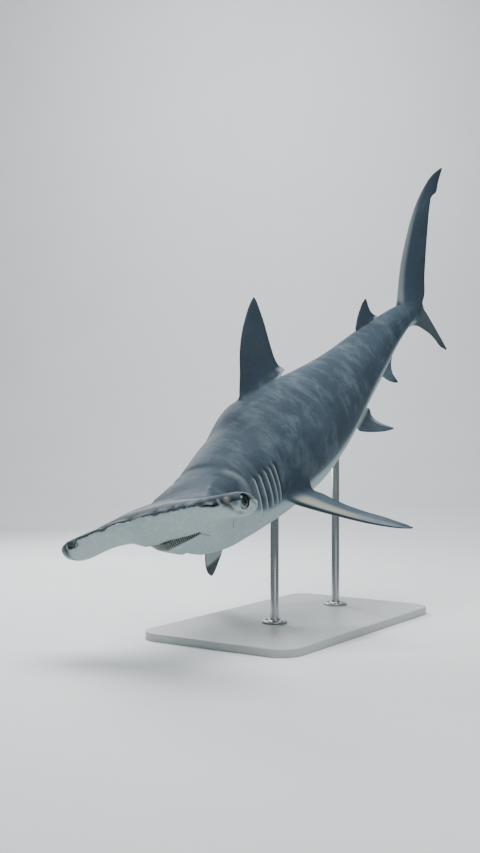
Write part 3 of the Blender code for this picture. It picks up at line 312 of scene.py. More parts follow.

# Strokes on the body, as stations and degrees from the middle of the back. They darken grooves with painted shade
# and light a ridge with a painted highlight.
BODY_STROKES = (
    (((0.143, 50), (0.146, 66), (0.150, 82), (0.154, 100)), 0.0170, 0.0030, {"light": 0.20}),
    (((0.155, 50), (0.158, 70), (0.162, 92)), 0.0080, -0.0022, {"fold": 0.14}),
    (((0.128, 35), (0.134, 60), (0.140, 82)), 0.0140, -0.0030, {"fold": 0.10}),
    (((0.232, 74), (0.300, 72), (0.400, 76), (0.520, 82), (0.640, 88), (0.690, 90)), 0.0030, -0.0010,
     {"fold": 0.16}),
    (((0.692, 0), (0.696, 0)), 0.0090, -0.0045, {"fold": 0.35}),
    (((0.226, 104), (0.232, 118), (0.246, 131)), 0.0060, -0.0018, {"fold": 0.22}),
    (((0.5210, 152), (0.5260, 166), (0.5270, 180)), 0.0060, -0.0025, {"fold": 0.30}),
)

# Countershading, as angles from the middle of the back: where the grey back gives way to the pale belly
SHADE_LINE = ((0.0, 90), (0.10, 92), (0.14, 104), (0.19, 122), (0.25, 124), (0.40, 124), (0.55, 120), (0.70, 132))
SHADE_WIDTH = ((0.0, 6), (0.10, 8), (0.16, 12), (0.25, 11), (0.55, 13), (0.70, 22))
# On the hammer the grey ends within these of its rear middle, as a sine, and of the fold at its front, in metres.
REAR_TONE_EDGE, FRONT_TONE_EDGE = 0.20, 0.003
# Station in metres where the pale wisps of painted light on the back end
LIGHT_WISPS_END = 1.95
BLACK, WHITE = (0.0, 0.0, 0.0), (1.0, 1.0, 1.0)
MARKS = ("tone", "dusk", "fold", "light", "warm", "edge", "soft")
# Marks that colour the skin: tone, dusky tips and painted shade, painted shade in creases, painted highlights,
# yellowing
PAINTED = ("tone", "dusk", "fold", "light", "warm")
FAR_FROM_EDGE = 0.5

# Stand, in metres. The flange's profile is (radius, height over the board).
BASE_CORNER, BASE_ROUND_OVER, CORNER_POINTS = 0.090, 0.006, 20
ROD_RADIUS, ROD_SIDES = 0.016, 72
FLANGE_TOP = 0.009
FLANGE_PROFILE = (
    (0.0470, -0.001), (0.0480, 0.000), (0.0480, 0.0065), (0.0474, 0.0080), (0.0460, FLANGE_TOP),
    (0.0240, FLANGE_TOP), (0.0205, 0.0098), (0.0180, 0.0130), (0.0166, 0.0180), (0.0160, 0.0240),
)
SCREWS, SCREW_CIRCLE, SCREW_RADIUS, SCREW_HEIGHT = 4, 0.035, 0.0052, 0.0030

# Floor that sweeps up into a wall, in metres along the camera's view
FLOOR_HALF_WIDTH, FLOOR_FRONT = 26.0, -14.0
WALL_PLACE, WALL_HEIGHT, WALL_BEND, BEND_STEPS = 9.0, 9.0, 2.5, 24

# Camera: level, on the animal's left front, as in the photograph. Light is (name, place, target, size, watts,
# colour), and no softbox is seen in a picture itself.
CAMERA_AZIMUTH = math.radians(33.83)
CAMERA_FROM_ROD = (2.2537, -3.5999, 0.7793)
LENS = 46.89
LIGHTS = (
    ("key", (0.2, -0.3, 4.4), (0.0, -0.1, 0.8), 3.0, 270, "#FFFFFF"),
    ("fill", (3.8, -3.4, 1.6), (0.1, -0.4, 0.7), 2.6, 30, "#EDF5FF"),
    ("rim", (-2.8, 1.2, 2.6), (0.0, 0.0, 1.0), 1.6, 120, "#FFFFFF"),
    ("wall", (-2.7, 4.1, 5.2), (-5.0, 7.5, 2.6), 4.0, 260, "#FFFFFF"),
)
WORLD_COLOUR, WORLD_STRENGTH = "#E6EEF3", 0.36


def smooth_curve(knots, place):
    """Values at the places of a curve through (place, value) knots that never overshoots them."""
    x, y = np.array(knots, float).T
    step = np.diff(x)
    rise = np.diff(y) / step
    slope = np.zeros(len(x))
    slope[0], slope[-1] = rise[0], rise[-1]
    for k in range(1, len(x) - 1):
        if rise[k - 1] * rise[k] > 0:
            before, after = 2 * step[k] + step[k - 1], step[k] + 2 * step[k - 1]
            slope[k] = (before + after) / (before / rise[k - 1] + after / rise[k])
    place = np.clip(place, x[0], x[-1])
    k = np.clip(np.searchsorted(x, place, side="right") - 1, 0, len(x) - 2)
    t = (place - x[k]) / step[k]
    start = (1 + 2 * t) * (1 - t) ** 2 * y[k] + t * (1 - t) ** 2 * step[k] * slope[k]
    end = t * t * (3 - 2 * t) * y[k + 1] + t * t * (t - 1) * step[k] * slope[k + 1]
    return start + end


def signed_power(value, exponent):
    return np.sign(value) * np.abs(value) ** exponent


def ease(value):
    value = np.clip(value, 0, 1)
    return value * value * (3 - 2 * value)


def fade_in(value, start, end):
    """Smooth rise from 0 at start to 1 at end. Where start is the greater one, it rises as the value falls."""
    return ease((value - start) / (end - start))


def bell(value, middle, width):
    return np.exp(-(((value - middle) / width) ** 2))


def turns(count):
    """Angles of a full turn in equal steps."""
    return np.linspace(0, 2 * math.pi, count, endpoint=False)


def box_middle(name):
    """Middle of a CAD node's box in plan, and the height of its top."""
    low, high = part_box(name)
    return (low[0] + high[0]) / 2, (low[1] + high[1]) / 2, high[2]


def spine_frames():
    """Place and rotation of the body's frame at each step along the spine."""
    stations = np.linspace(0, 1, SPINE_STEPS + 1)
    clipped = np.minimum(stations, SPINE_YAW[-1][0])
    angles = [np.radians(smooth_curve(k, clipped)) for k in (SPINE_YAW, SPINE_PITCH, SPINE_ROLL)]
    bends = [
        Matrix.Rotation(yaw, 3, "Z") @ Matrix.Rotation(pitch, 3, "X") @ Matrix.Rotation(roll, 3, "Y")
        for yaw, pitch, roll in zip(*angles)
    ]
    attitude = Matrix.Rotation(math.radians(NOSE_DOWN), 3, "X") @ Matrix.Rotation(-math.radians(BANK), 3, "Y")
    frames = np.array([attitude @ bend for bend in bends])
    steps = (frames[1:, :, 1] + frames[:-1, :, 1]) / 2 * (stations[1] - stations[0])
    places = np.vstack([np.zeros(3), np.cumsum(steps, axis=0)]) * UNIT_LENGTH
    rod_top = np.array(box_middle("stand_rod_front"))
    rod = [np.interp(ROD_STATION, stations, places[:, k]) for k in range(3)]
    return places + rod_top + np.array((0, 0, ROD_TOP_UNDER_SPINE)) - rod, frames


PLACES, FRAMES = spine_frames()


def posed(points):
    """Points of the straight body, in shares, as metres in the posed animal."""
    points = np.atleast_2d(np.array(points, float))
    on_spine = np.clip(points[:, 1], 0, SPINE_LAST)
    at = on_spine * SPINE_STEPS
    k = at.astype(int)
    part = (at - k)[:, None]
    place = PLACES[k] * (1 - part) + PLACES[k + 1] * part
    turn = FRAMES[k] * (1 - part[:, :, None]) + FRAMES[k + 1] * part[:, :, None]
    local = np.column_stack([points[:, 0], points[:, 1] - on_spine, points[:, 2]]) * UNIT_LENGTH
    return place + np.einsum("nij,nj->ni", turn, local)


def side_angle(angle):
    """Angle from the middle of the back, alike on both sides."""
    return np.abs((angle + math.pi) % (2 * math.pi) - math.pi)


def gill_height(station, angle):
    """Height of the skin over the gills, from -1 in a slit to 1 on the rear edge of a flap."""
    edges = np.array((2 * GILL_SLITS[0] - GILL_SLITS[1], *GILL_SLITS))
    station = np.atleast_1d(station)
    k = np.clip(np.searchsorted(edges, station) - 1, 0, len(edges) - 2)
    start, end = edges[k] + GILL_EDGE, edges[k + 1] - GILL_EDGE
    flap = np.clip((station - start) / (end - start), 0, 1)
    drop = np.clip((station - end) / (2 * GILL_EDGE), 0, 1)
    height = np.where(station > end, 1 - 2 * drop, np.where(k > 0, 2 * flap - 1, flap))
    behind = ease((station - edges[-1] - GILL_EDGE) / (GILL_CUT - edges[-1] - GILL_EDGE))
    height = np.where(station > edges[-1] + GILL_EDGE, behind - 1, height)
    height = np.where((station < edges[0]) | (station >= GILL_CUT), 0, height)
    side = side_angle(angle)
    return height * ease((side - GILL_TOP) / GILL_FADE) * ease((GILL_BOTTOM - side) / GILL_FADE)


def tube_point(station, angle):
    """Points on the straight body. Angle 0 is the back, and a right angle the left side."""
    station, angle = np.broadcast_arrays(np.atleast_1d(station).astype(float), angle)
    power = smooth_curve(SQUARENESS, station)
    side = signed_power(np.sin(angle), power)
    rise = signed_power(np.cos(angle), power)
    height = np.where(rise > 0, smooth_curve(BACK_HEIGHT, station), smooth_curve(BELLY_DEPTH, station))
    radius = 1 + GILL_LIFT * gill_height(station, angle) / smooth_curve(HALF_WIDTH, station)
    lean = GILL_LEAN * ease((station - NECK_END) / GILL_LEAN_FADE) * ease((GILL_CUT - station) / GILL_LEAN_FADE)
    slope = 1 - smooth_curve(ROOF, station) * np.clip(np.cos(angle), 0, 1) ** SLOPE_POWER
    slope -= smooth_curve(THROAT, station) * np.clip(-np.cos(angle), 0, 1) ** SLOPE_POWER
    x = smooth_curve(HALF_WIDTH, station) * side * radius * slope
    return np.column_stack([x, station - lean * np.cos(angle), height * rise * radius])


def hammer_point(span, angle):
    """Points on the hammer. Span is the distance to the left, and angle runs from the front over the top."""
    span, angle = np.broadcast_arrays(np.atleast_1d(span).astype(float), angle)
    out = np.abs(span)
    tip = np.sqrt(1 - np.clip((out - TIP_START) / (HALF_SPAN - TIP_START), 0, TIP_CLOSING) ** 2)
    front = TIP_MIDDLE - (TIP_MIDDLE - smooth_curve(FRONT_EDGE, out)) * tip**TIP_FRONT_ROUNDING
    rear = TIP_MIDDLE + (smooth_curve(REAR_EDGE, out) - TIP_MIDDLE) * tip**TIP_REAR_ROUNDING
    chord = (1 - np.cos(angle)) / 2
    rise = signed_power(np.sin(angle), np.where(chord < 0.5, smooth_curve(FRONT_SHARPNESS, out), 1.0))
    height = np.where(rise > 0, smooth_curve(HAMMER_TOP, out), smooth_curve(HAMMER_BELLY, out))
    sag = CENTRE_SAG * np.clip(1 - (out / SAG_SPAN) ** 2, 0, 1) ** 2
    middle = -sag - TIP_DROOP * (out / HALF_SPAN) ** 2 - WING_TILT * chord * (rear - front)
    return np.column_stack([span, front + chord * (rear - front), middle + height * tip**TIP_THINNING * rise])


def wing_spans():
    """Distances from the midline of the hammer's sections, from the right tip to the left one."""
    share = 1 - (1 - np.arange(1, WING_SPANS + 1) / WING_SPANS) ** WING_CROWDING
    wing = NECK_HALF_WIDTH + (HALF_SPAN - NECK_HALF_WIDTH) * share
    middle = np.linspace(-NECK_HALF_WIDTH, NECK_HALF_WIDTH, NECK_COLUMNS + 1)
    return np.concatenate([-wing[::-1], middle, wing])


SPANS = wing_spans()
FIRST_NECK_SPAN = WING_SPANS
LAST_NECK_SPAN = WING_SPANS + NECK_COLUMNS
ANGLES = turns(TUBE_POINTS)


class Skin:
    """The skin as it is grown: straight points with their marks, and faces between named points."""

    def __init__(self):
        self.index = {}
        self.points = []
        self.marks = {name: [] for name in MARKS}
        self.faces = []

    def add(self, keys, points, **marks):
        """Adds points with their marks, in the order of MARKS: tone from pale belly to grey back, dusky fin tips
        that also carry painted shade by the gills and eyes, painted shade in creases, painted highlights on ridges,
        yellowing, edge the distance over the hammer's front edge in metres, and soft where the surface is
        smoothed."""
        for key, point in zip(keys, points):
            self.index[key] = len(self.points)
            self.points.append(point)
        for name in MARKS:
            value = marks.get(name, FAR_FROM_EDGE if name == "edge" else 0.0)
            self.marks[name] += list(np.broadcast_to(value, len(keys)))

    def at(self, keys):
        return np.array([self.points[self.index[key]] for key in keys])

    def face(self, *keys):
        self.faces.append([self.index[key] for key in keys])

    def band(self, loop, following):
        for k in range(len(loop)):
            n = (k + 1) % len(loop)
            self.face(loop[k], loop[n], following[n], following[k])

    def cap(self, loop):
        """Closes a loop with strips between its two sides, which mirror each other about point 0."""
        n = len(loop)
        self.face(loop[0], loop[1], loop[n - 1])
        for k in range(1, n // 2 - 1):
            self.face(loop[k], loop[k + 1], loop[n - k - 1], loop[n - k])
        self.face(loop[n // 2 - 1], loop[n // 2], loop[n // 2 + 1])


def edge_distance(section):
    """Distance along a closed section from its first point, in metres: positive over the top, negative below."""
    steps = np.linalg.norm(np.diff(np.vstack([section, section[:1]]), axis=0), axis=1) * UNIT_LENGTH
    over = np.concatenate([[0], np.cumsum(steps[:-1])])
    under = over - steps.sum()
    return np.where(np.arange(len(section)) <= len(section) // 2, over, under)


def grow_hammer(skin):
    angle = turns(HAMMER_POINTS)
    chord = (1 - np.cos(angle)) / 2
    rear_tone = fade_in(np.sin(angle), -REAR_TONE_EDGE, REAR_TONE_EDGE)
    for a, span in enumerate(SPANS):
        section = hammer_point(span, angle)
        edge = edge_distance(section)
        front_tone = fade_in(edge - smooth_curve(EDGE_FOLD, span), -FRONT_TONE_EDGE, FRONT_TONE_EDGE)
        tone = np.where(chord < 0.5, front_tone, rear_tone)
        skin.add([("hammer", a, m) for m in range(HAMMER_POINTS)], section, tone=tone, edge=edge)
    for a in range(len(SPANS) - 1):
        for m in range(HAMMER_POINTS):
            behind = HOLE_START <= m < HAMMER_POINTS - HOLE_START
            if not (behind and FIRST_NECK_SPAN <= a < LAST_NECK_SPAN):
                n = (m + 1) % HAMMER_POINTS
                skin.face(("hammer", a, m), ("hammer", a, n), ("hammer", a + 1, n), ("hammer", a + 1, m))
    for a in (0, len(SPANS) - 1):
        skin.cap([("hammer", a, m) for m in range(HAMMER_POINTS)])


def neck_keys():
    """Keys round the opening where the body grows from the hammer, from the top midline leftwards."""
    half = NECK_COLUMNS // 2
    centre = FIRST_NECK_SPAN + half
    top, low = HOLE_START, HAMMER_POINTS - HOLE_START
    keys = [("hammer", centre + k, top) for k in range(half)]
    keys += [("hammer", LAST_NECK_SPAN, top + k) for k in range(HOLE_POINTS)]
    keys += [("hammer", LAST_NECK_SPAN - k, low) for k in range(NECK_COLUMNS)]
    keys += [("hammer", FIRST_NECK_SPAN, low - k) for k in range(HOLE_POINTS)]
    return keys + [("hammer", FIRST_NECK_SPAN + k, top) for k in range(half)]


def row_stations():
    """Stations of the body's rings behind the neck, close together at the gill slits."""
    stations = list(np.linspace(NECK_END, GILL_SLITS[0] - GILL_LEAD, NECK_ROWS))
    for slit in GILL_SLITS:
        close = [slit + GILL_EDGE * k for k in SLIT_ROWS]
        stations += list(np.linspace(stations[-1], close[0], FLAP_ROWS + 1)[1:]) + close[1:]
    for end, rows in ROWS:
        stations += list(np.linspace(stations[-1], end, rows + 1)[1:])
    return stations


def body_tone(station, angle):
    line, width = smooth_curve(SHADE_LINE, station), smooth_curve(SHADE_WIDTH, station)
    return fade_in(np.degrees(side_angle(angle)), line + width, line - width)


def tube_keys(ring):
    return [("tube", ring, j) for j in range(TUBE_POINTS)]


def grow_body(skin):
    """Adds the body's rings and returns their stations. The first ones turn the hammer into the neck."""
    start = skin.at(neck_keys())
    start_tone = np.array([skin.marks["tone"][skin.index[key]] for key in neck_keys()])
    away = start - tube_point(start[:, 1], ANGLES)
    away[:, 1] = 0
    stations = [NECK_END * ring / NECK_RINGS for ring in range(1, NECK_RINGS)] + row_stations()
    for i, station in enumerate(stations):
        share = (i + 1) / NECK_RINGS
        if share < 1:
            place = start[:, 1] + (NECK_END - start[:, 1]) * share
            ring = tube_point(place, ANGLES) + away * (1 - share) ** 2
        else:
            place = np.full(TUBE_POINTS, station)
            ring = tube_point(station, ANGLES)
        grown = fade_in(share, 0.0, 0.5)
        tone = body_tone(place, ANGLES) * grown + start_tone * (1 - grown)
        height = gill_height(place, ANGLES)
        # Painted shade darkens the slits and the sunk front of each flap; painted highlights light the flaps' rear
        # edges
        fold = fade_in(height, -0.45, -0.90)
        dusk = 0.30 * fade_in(height, 0.0, -0.8)
        light = 0.75 * fade_in(height, 0.72, 1.0) + 0.15 * fade_in(height, 0.0, 0.6)
        soft = float(i < SOFT_NECK_RINGS)
        skin.add(tube_keys(i), ring, tone=tone, fold=fold, dusk=dusk, light=light, soft=soft)
    return stations


def grow_upper_lobe(skin, first):
    forward = (1 + np.cos(ANGLES)) / 2
    for i in range(1, LOBE_RINGS + 1):
        share = i / LOBE_RINGS
        values = [smooth_curve([(row[0], row[k]) for row in LOBE], share) for k in range(1, 6)]
        lead, trail, half = np.array(values[:2]), np.array(values[2:4]), values[4]
        blade = ease((share - LOWER_LOBE_END) / BLADE_GROWTH)
        side = signed_power(np.sin(ANGLES), np.where(forward < 0.5, 1 + BLADE_SHARPNESS * blade, 1.0))
        points = np.column_stack([half * side, trail + (lead - trail) * forward[:, None]])
        tone = 1 - (1 - body_tone(TAIL_ROOT, ANGLES)) * fade_in(share, 0.18, 0.0)
        dusk = 0.55 * fade_in(forward, 0.16, 0.02) * fade_in(share, 0.0, 0.3) + 0.45 * fade_in(share, 0.8, 1.0)
        # A painted highlight along the lobe's leading edge
        light = 0.30 * fade_in(forward, 0.80, 0.95) * fade_in(share, 0.0, 0.2) * fade_in(share, 0.9, 0.6)
        skin.add(tube_keys(first + i - 1), points, tone=tone, dusk=dusk, light=light)


def hole_keys(rows, column, half_columns):
    """Keys round the opening where a fin grows: from the middle of its front, down the side of rising angle."""
    first, last = rows
    right, left = column - half_columns, column + half_columns
    keys = [(first, j) for j in range(column, left)]
    keys += [(i, left) for i in range(first, last)]
    keys += [(last, j) for j in range(left, right, -1)]
    keys += [(i, right) for i in range(last, first, -1)]
    keys += [(first, j) for j in range(right, column)]
    return [("tube", i, j % TUBE_POINTS) for i, j in keys]


def fin_direction(fin):
    lean = math.radians(fin["lean"])
    return np.array((math.cos(lean), 0.0, -math.sin(lean)))


def fin_section(fin, place, count, rise, share):
    """Closed section of a fin with its front edge first. It is at a share of the height called rise, and takes
    its outline from share. Place is the root's front, the chord's direction and the bulge of the body's skin."""
    origin, along, bulge = place
    out = fin_direction(fin)
    normal = np.cross(along, out)
    normal /= np.linalg.norm(normal)
    lead, trail = (smooth_curve([(row[0], row[k]) for row in fin["outline"]], share) for k in (1, 2))
    angle = turns(count)
    back = (1 - np.cos(angle)) / 2
    half = fin["thickness"] * (1 - FIN_TAPER * rise**TAPER_POWER) * min(1.0, (trail - lead) / FULL_CHORD) ** 0.5
    depth = half * np.sin(angle) * (FRONT_FULLNESS - REAR_THINNING * back)
    chord = lead + fin.get("sweep", 0.0) * rise + (trail - lead) * back
    lift = fin["height"] * rise + np.interp(back, *bulge) * (1 - min(1.0, rise / BULGE_HEIGHT)) ** 2
    return origin + np.outer(lift, out) + np.outer(chord, along) + np.outer(depth, normal)


def fin_marks(name, root_tone, count, share):
    """Marks round a section of a fin at a share of its height. Back is the share of the chord from the front."""
    angle = turns(count)
    back = (1 - np.cos(angle)) / 2
    upper = (np.sin(angle) > 0) == name.startswith("right")
    grown = fade_in(share, 0.0, 0.16)
    rear_edge = fade_in(back, 0.84, 0.96) * fade_in(share, 0.0, 0.2)
    # Painted highlights on the pectorals' front halves; paler patches at the pelvics' rear and the dorsals' free tips
    warm = light = 0.0
    if "pectoral" in name:
        tone = np.where(upper, 0.80, 0.12)
        tip = np.where(upper, 0.45 * fade_in(share, 0.85, 1.0), 1.10 * fade_in(share + 0.10 * back, 0.78, 0.85))
        dusk = tip + np.where(upper, 0.35, 0.20) * rear_edge + 0.9 * fade_in(back, 0.050, 0.020) * grown
        front_half = upper * fade_in(back, 0.55, 0.20) * fade_in(back, 0.03, 0.09) * grown
        warm, light = 0.75 * front_half * fade_in(share, 0.75, 0.45), 0.26 * front_half
    elif "pelvic" in name:
        tone = np.where(upper, 0.92, 0.15)
        dusk = np.where(upper, 0.30, 0.15) * fade_in(share, 0.60, 0.90) + 0.35 * rear_edge
        light = 0.45 * upper * fade_in(back, 0.72, 0.87) * fade_in(share, 0.15, 0.45)
    elif name == "anal_fin":
        tone, dusk = 0.55, 0.9 * rear_edge + 0.85 * fade_in(share, 0.62, 0.87)
    elif name == "lower_tail_lobe":
        tone, dusk, warm = 0.85, 0.20 + 0.40 * rear_edge + 0.35 * fade_in(share, 0.45, 0.95), 0.10
    else:
        free_tip = fade_in(back, 0.80, 0.90) * fade_in(share, 0.13, 0.08)
        edges = 0.30 * rear_edge + 0.25 * fade_in(back, 0.06, 0.01)
        tone, dusk = 0.97, (0.30 + 0.25 * fade_in(share, 0.72, 1.0) + edges) * grown * (1 - free_tip)
        light = 0.75 * free_tip * fade_in(share, 0.0, 0.03)
    tone = tone * grown + root_tone * (1 - grown)
    return {"tone": tone, "dusk": dusk * grown, "warm": warm * grown, "light": light}


def grow_fin(skin, name, fin, rows):
    """Grows a fin from an opening in the body and returns the opening."""
    column = round(fin["angle"] / 360 * TUBE_POINTS)
    half_columns = fin.get("half_columns", HALF_COLUMNS)
    hole = hole_keys(rows, column, half_columns)
    root = skin.at(hole)
    root_tone = np.array([skin.marks["tone"][skin.index[key]] for key in hole])
    count = len(root)
    straight = root[count // 2] - root[0]
    middle = skin.at([("tube", i, column) for i in range(rows[0], rows[1] + 1)]) - root[0]
    shares = middle @ straight / (straight @ straight)
    bulge = shares, (middle - np.outer(shares, straight)) @ fin_direction(fin)
    if "twist" in fin:
        straight = np.array((0.0, 1.0, -math.tan(math.radians(fin["twist"]))))
    place = root[0], straight / np.linalg.norm(straight), bulge
    loops = [hole]
    for r in range(FIN_RINGS):
        if r < ROOT_RINGS:
            share = ROOT_SHARE * (r + 1) / ROOT_RINGS
            section = fin_section(fin, place, count, ROOT_SHARE, ROOT_SHARE * (r / (ROOT_RINGS - 1)) ** 2)
            joined = 1 - (1 - (r + 1) / ROOT_RINGS) ** ROOT_CURVE
            section = root * (1 - joined) + section * joined
        else:
            share = ROOT_SHARE + (1 - ROOT_SHARE) * (r - ROOT_RINGS + 1) / (FIN_RINGS - ROOT_RINGS)
            section = fin_section(fin, place, count, share, share)
        loops.append([(name, r, k) for k in range(count)])
        soft = float(r < SOFT_ROOT_RINGS)
        skin.add(loops[-1], section, soft=soft, **fin_marks(name, root_tone, count, share))
    for loop, following in zip(loops, loops[1:]):
        skin.band(loop, following)
    skin.cap(loops[-1])
    return rows, column, half_columns


def grow_skin():
    """The whole skin of the straight animal."""
    skin = Skin()
    grow_hammer(skin)
    stations = grow_body(skin)
    first_lobe_ring = len(stations)
    grow_upper_lobe(skin, first_lobe_ring)
    lower_rows = (first_lobe_ring - 1, first_lobe_ring - 1 + round(LOWER_LOBE_END * LOBE_RINGS))
    openings = []
    for name, fin in FINS.items():
        rows = lower_rows
        if "root" in fin:
            rows = tuple(int(np.argmin(np.abs(np.array(stations) - place))) for place in fin["root"])
        openings.append(grow_fin(skin, name, fin, rows))
    skin.band(neck_keys(), tube_keys(0))
    last = first_lobe_ring + LOBE_RINGS - 1
    closed = np.zeros((last, TUBE_POINTS), bool)
    for (first, end), column, half in openings:
        closed[np.ix_(range(first, end), np.arange(column - half, column + half) % TUBE_POINTS)] = True
    for i in range(last):
        for j in range(TUBE_POINTS):
            if not closed[i, j]:
                n = (j + 1) % TUBE_POINTS
                skin.face(("tube", i, j), ("tube", i, n), ("tube", i + 1, n), ("tube", i + 1, j))
    skin.cap(tube_keys(last))
    return skin


def to_linear(hex_colour):
    """Linear colour of an sRGB hex value."""
    channels = [int(hex_colour[k:k + 2], 16) / 255 for k in (1, 3, 5)]
    return tuple(c / 12.92 if c <= 0.04045 else ((c + 0.055) / 1.055) ** 2.4 for c in channels) + (1.0,)


def node(tree, kind, settings=None, **inputs):
    """Adds a node with its settings. An input is a value, or an output socket to link from."""
    made = tree.nodes.new(kind)
    for name, value in (settings or {}).items():
        setattr(made, name, value)
    for name, value in inputs.items():
        name = name.replace("_", " ")
        socket = made.inputs[int(name[2:])] if name.startswith("in") and name[2:].isdigit() else made.inputs[name]
        if isinstance(value, bpy.types.NodeSocket):
            tree.links.new(value, socket)
        else:
            socket.default_value = value
    return made


def new_material(name, **shader_inputs):
    made = bpy.data.materials.new(name)
    made.use_nodes = True
    shader = made.node_tree.nodes["Principled BSDF"]
    for key, value in shader_inputs.items():
        shader.inputs[key.replace("_", " ")].default_value = value
    return made, made.node_tree, shader


def ramp(tree, factor, *stops):
    """Colour ramp of (place, colour) stops. A colour is an sRGB hex value or three linear numbers."""
    made = node(tree, "ShaderNodeValToRGB", Fac=factor)
    elements = made.color_ramp.elements
    while len(elements) > len(stops):
        elements.remove(elements[-1])
    while len(elements) < len(stops):
        elements.new(0.5)
    for element, (place, colour) in zip(elements, stops):
        element.position = place
        element.color = to_linear(colour) if isinstance(colour, str) else (*colour, 1.0)
    return made.outputs["Color"]


def fade(tree, factor, start, end):
    """Ramp from black at start to white at end."""
    return ramp(tree, factor, (start, BLACK), (end, WHITE))


def mix(tree, factor, first, second, blend="MIX"):
    """Mixes two colours. Each may be a socket or an sRGB hex value."""
    made = node(tree, "ShaderNodeMix", {"data_type": "RGBA", "blend_type": blend}, in0=factor)
    for index, value in ((6, first), (7, second)):
        if isinstance(value, bpy.types.NodeSocket):
            tree.links.new(value, made.inputs[index])
        else:
            made.inputs[index].default_value = to_linear(value)
    return made.outputs[2]


def maths(tree, operation, first, second=0.0, third=0.0, clamp=False):
    settings = {"operation": operation, "use_clamp": clamp}
    return node(tree, "ShaderNodeMath", settings, in0=first, in1=second, in2=third).outputs[0]


def noise(tree, place, scale, detail=3.0, roughness=0.55, distortion=0.0):
    made = node(
        tree, "ShaderNodeTexNoise", Vector=place, Scale=scale, Detail=detail, Roughness=roughness,
        Distortion=distortion,
    )
    return made.outputs["Fac"]


def attribute(tree, name, output="Fac"):
    return node(tree, "ShaderNodeAttribute", {"attribute_name": name}).outputs[output]


def mapping(tree, place, scale, rotation=(0.0, 0.0, 0.0)):
    return node(tree, "ShaderNodeMapping", Vector=place, Scale=scale, Rotation=rotation).outputs[0]


def bump(tree, shader, height, distance, strength=1.0):
    """Relief in metres on a shader's surface."""
    made = node(tree, "ShaderNodeBump", Strength=strength, Distance=distance, Height=height)
    tree.links.new(made.outputs["Normal"], shader.inputs["Normal"])


def mottled_material(name, scale, dark, pale, **shader_inputs):
    """Material that drifts softly between two colours. Returns it with its tree, shader and place."""
    made, tree, shader = new_material(name, **shader_inputs)
    place = node(tree, "ShaderNodeTexCoord").outputs["Object"]
    colour = ramp(tree, noise(tree, place, scale), (0.3, dark), (0.7, pale))
    tree.links.new(colour, shader.inputs["Base Color"])
    return made, tree, shader, place


def painted_light_wisps(tree, place, shade, dusk):
    """Strength of the soft pale wisps of painted light, as from rippling water, that slant over the back. The
    dusky fins and the tail have none.
    """
    slanted = mapping(tree, place, (0.75, 1.3, 0.75), (0.6, 0.0, 0.0))
    wisps = fade(tree, noise(tree, slanted, 9.0, 6.0, 0.66, 0.4), 0.48, 0.74)
    station = node(tree, "ShaderNodeSeparateXYZ", Vector=place).outputs["Y"]
    off_body = maths(tree, "MAXIMUM", dusk, maths(tree, "SUBTRACT", station, LIGHT_WISPS_END))
    on_body = maths(tree, "MULTIPLY_ADD", off_body, -4.0, 1.0, clamp=True)
    return maths(tree, "MULTIPLY", maths(tree, "MULTIPLY", wisps, on_body), maths(tree, "MULTIPLY", shade, 0.31))


def skin_material():
    """Skin: a cast model's, airbrushed slate grey above and off-white below, a little mottled, under a matt varnish
    that leaves no mirror-like sheen. A fine grain stands for the tooth-like scales, drawn at 5 mm, as their real
    0.3 mm wouldn't show."""
    made, tree, shader = new_material("airbrushed_matt_skin", Roughness=0.70, Specular_IOR_Level=0.15)
    place = attribute(tree, "straight", "Vector")
    tone, dusk, fold, light, warm = (attribute(tree, name) for name in PAINTED)
    clouds = noise(tree, mapping(tree, place, (1.0, 0.45, 1.0)), 7.0, 6.0, 0.62, 0.5)
    fine = noise(tree, place, 70.0, 5.0, 0.6)
    shade = maths(tree, "ADD", tone, maths(tree, "MULTIPLY_ADD", clouds, 0.50, -0.25), clamp=True)
    colour = ramp(tree, shade, (0.0, "#A0AFB0"), (0.30, "#8A9BA0"), (0.58, "#50606B"), (1.0, "#36444F"))
    mottling = ramp(tree, clouds, (0.32, (0.64, 0.66, 0.68)), (0.50, WHITE), (0.68, (1.40, 1.38, 1.35)))
    colour = mix(tree, maths(tree, "MULTIPLY", shade, 0.9), colour, mix(tree, 1.0, colour, mottling, "MULTIPLY"))
    # Pale wisps of painted light over the back
    colour = mix(tree, painted_light_wisps(tree, place, shade, dusk), colour, "#8696A0")
    freckles = ramp(tree, fine, (0.35, (0.84, 0.84, 0.85)), (0.65, (1.10, 1.10, 1.08)))
    colour = mix(tree, 0.7, colour, mix(tree, 1.0, colour, freckles, "MULTIPLY"))
    # Yellowing, painted highlights, dusky tips with painted shade, and painted shade in creases, laid over in turn
    for mark, strength, paint in (
        (warm, 0.75, "#A39A80"), (light, 0.75, "#C4D0D2"), (dusk, 0.85, "#1E262C"), (fold, 0.92, "#10161A"),
    ):
        colour = mix(tree, maths(tree, "MULTIPLY", mark, strength, clamp=True), colour, paint)
    tree.links.new(colour, shader.inputs["Base Color"])
    tree.links.new(maths(tree, "MULTIPLY_ADD", fine, 0.20, 0.60), shader.inputs["Roughness"])
    scales = noise(tree, place, 200.0, 2.0, 0.5)
    relief = maths(tree, "MULTIPLY_ADD", scales, 0.25, maths(tree, "MULTIPLY", clouds, 0.55))
    bump(tree, shader, relief, 0.004, 0.45)
    return made


def shaded_lining_material():
    """Lining of the mouth, nostrils and eye sockets: soft tissue, satin, painted nearly black as shade in the depth.
    """
    return mottled_material(
        "mouth_lining_painted_shade", 60.0, "#14181C", "#252C31", Roughness=0.45, Coat_Weight=0.2,
    )[0]


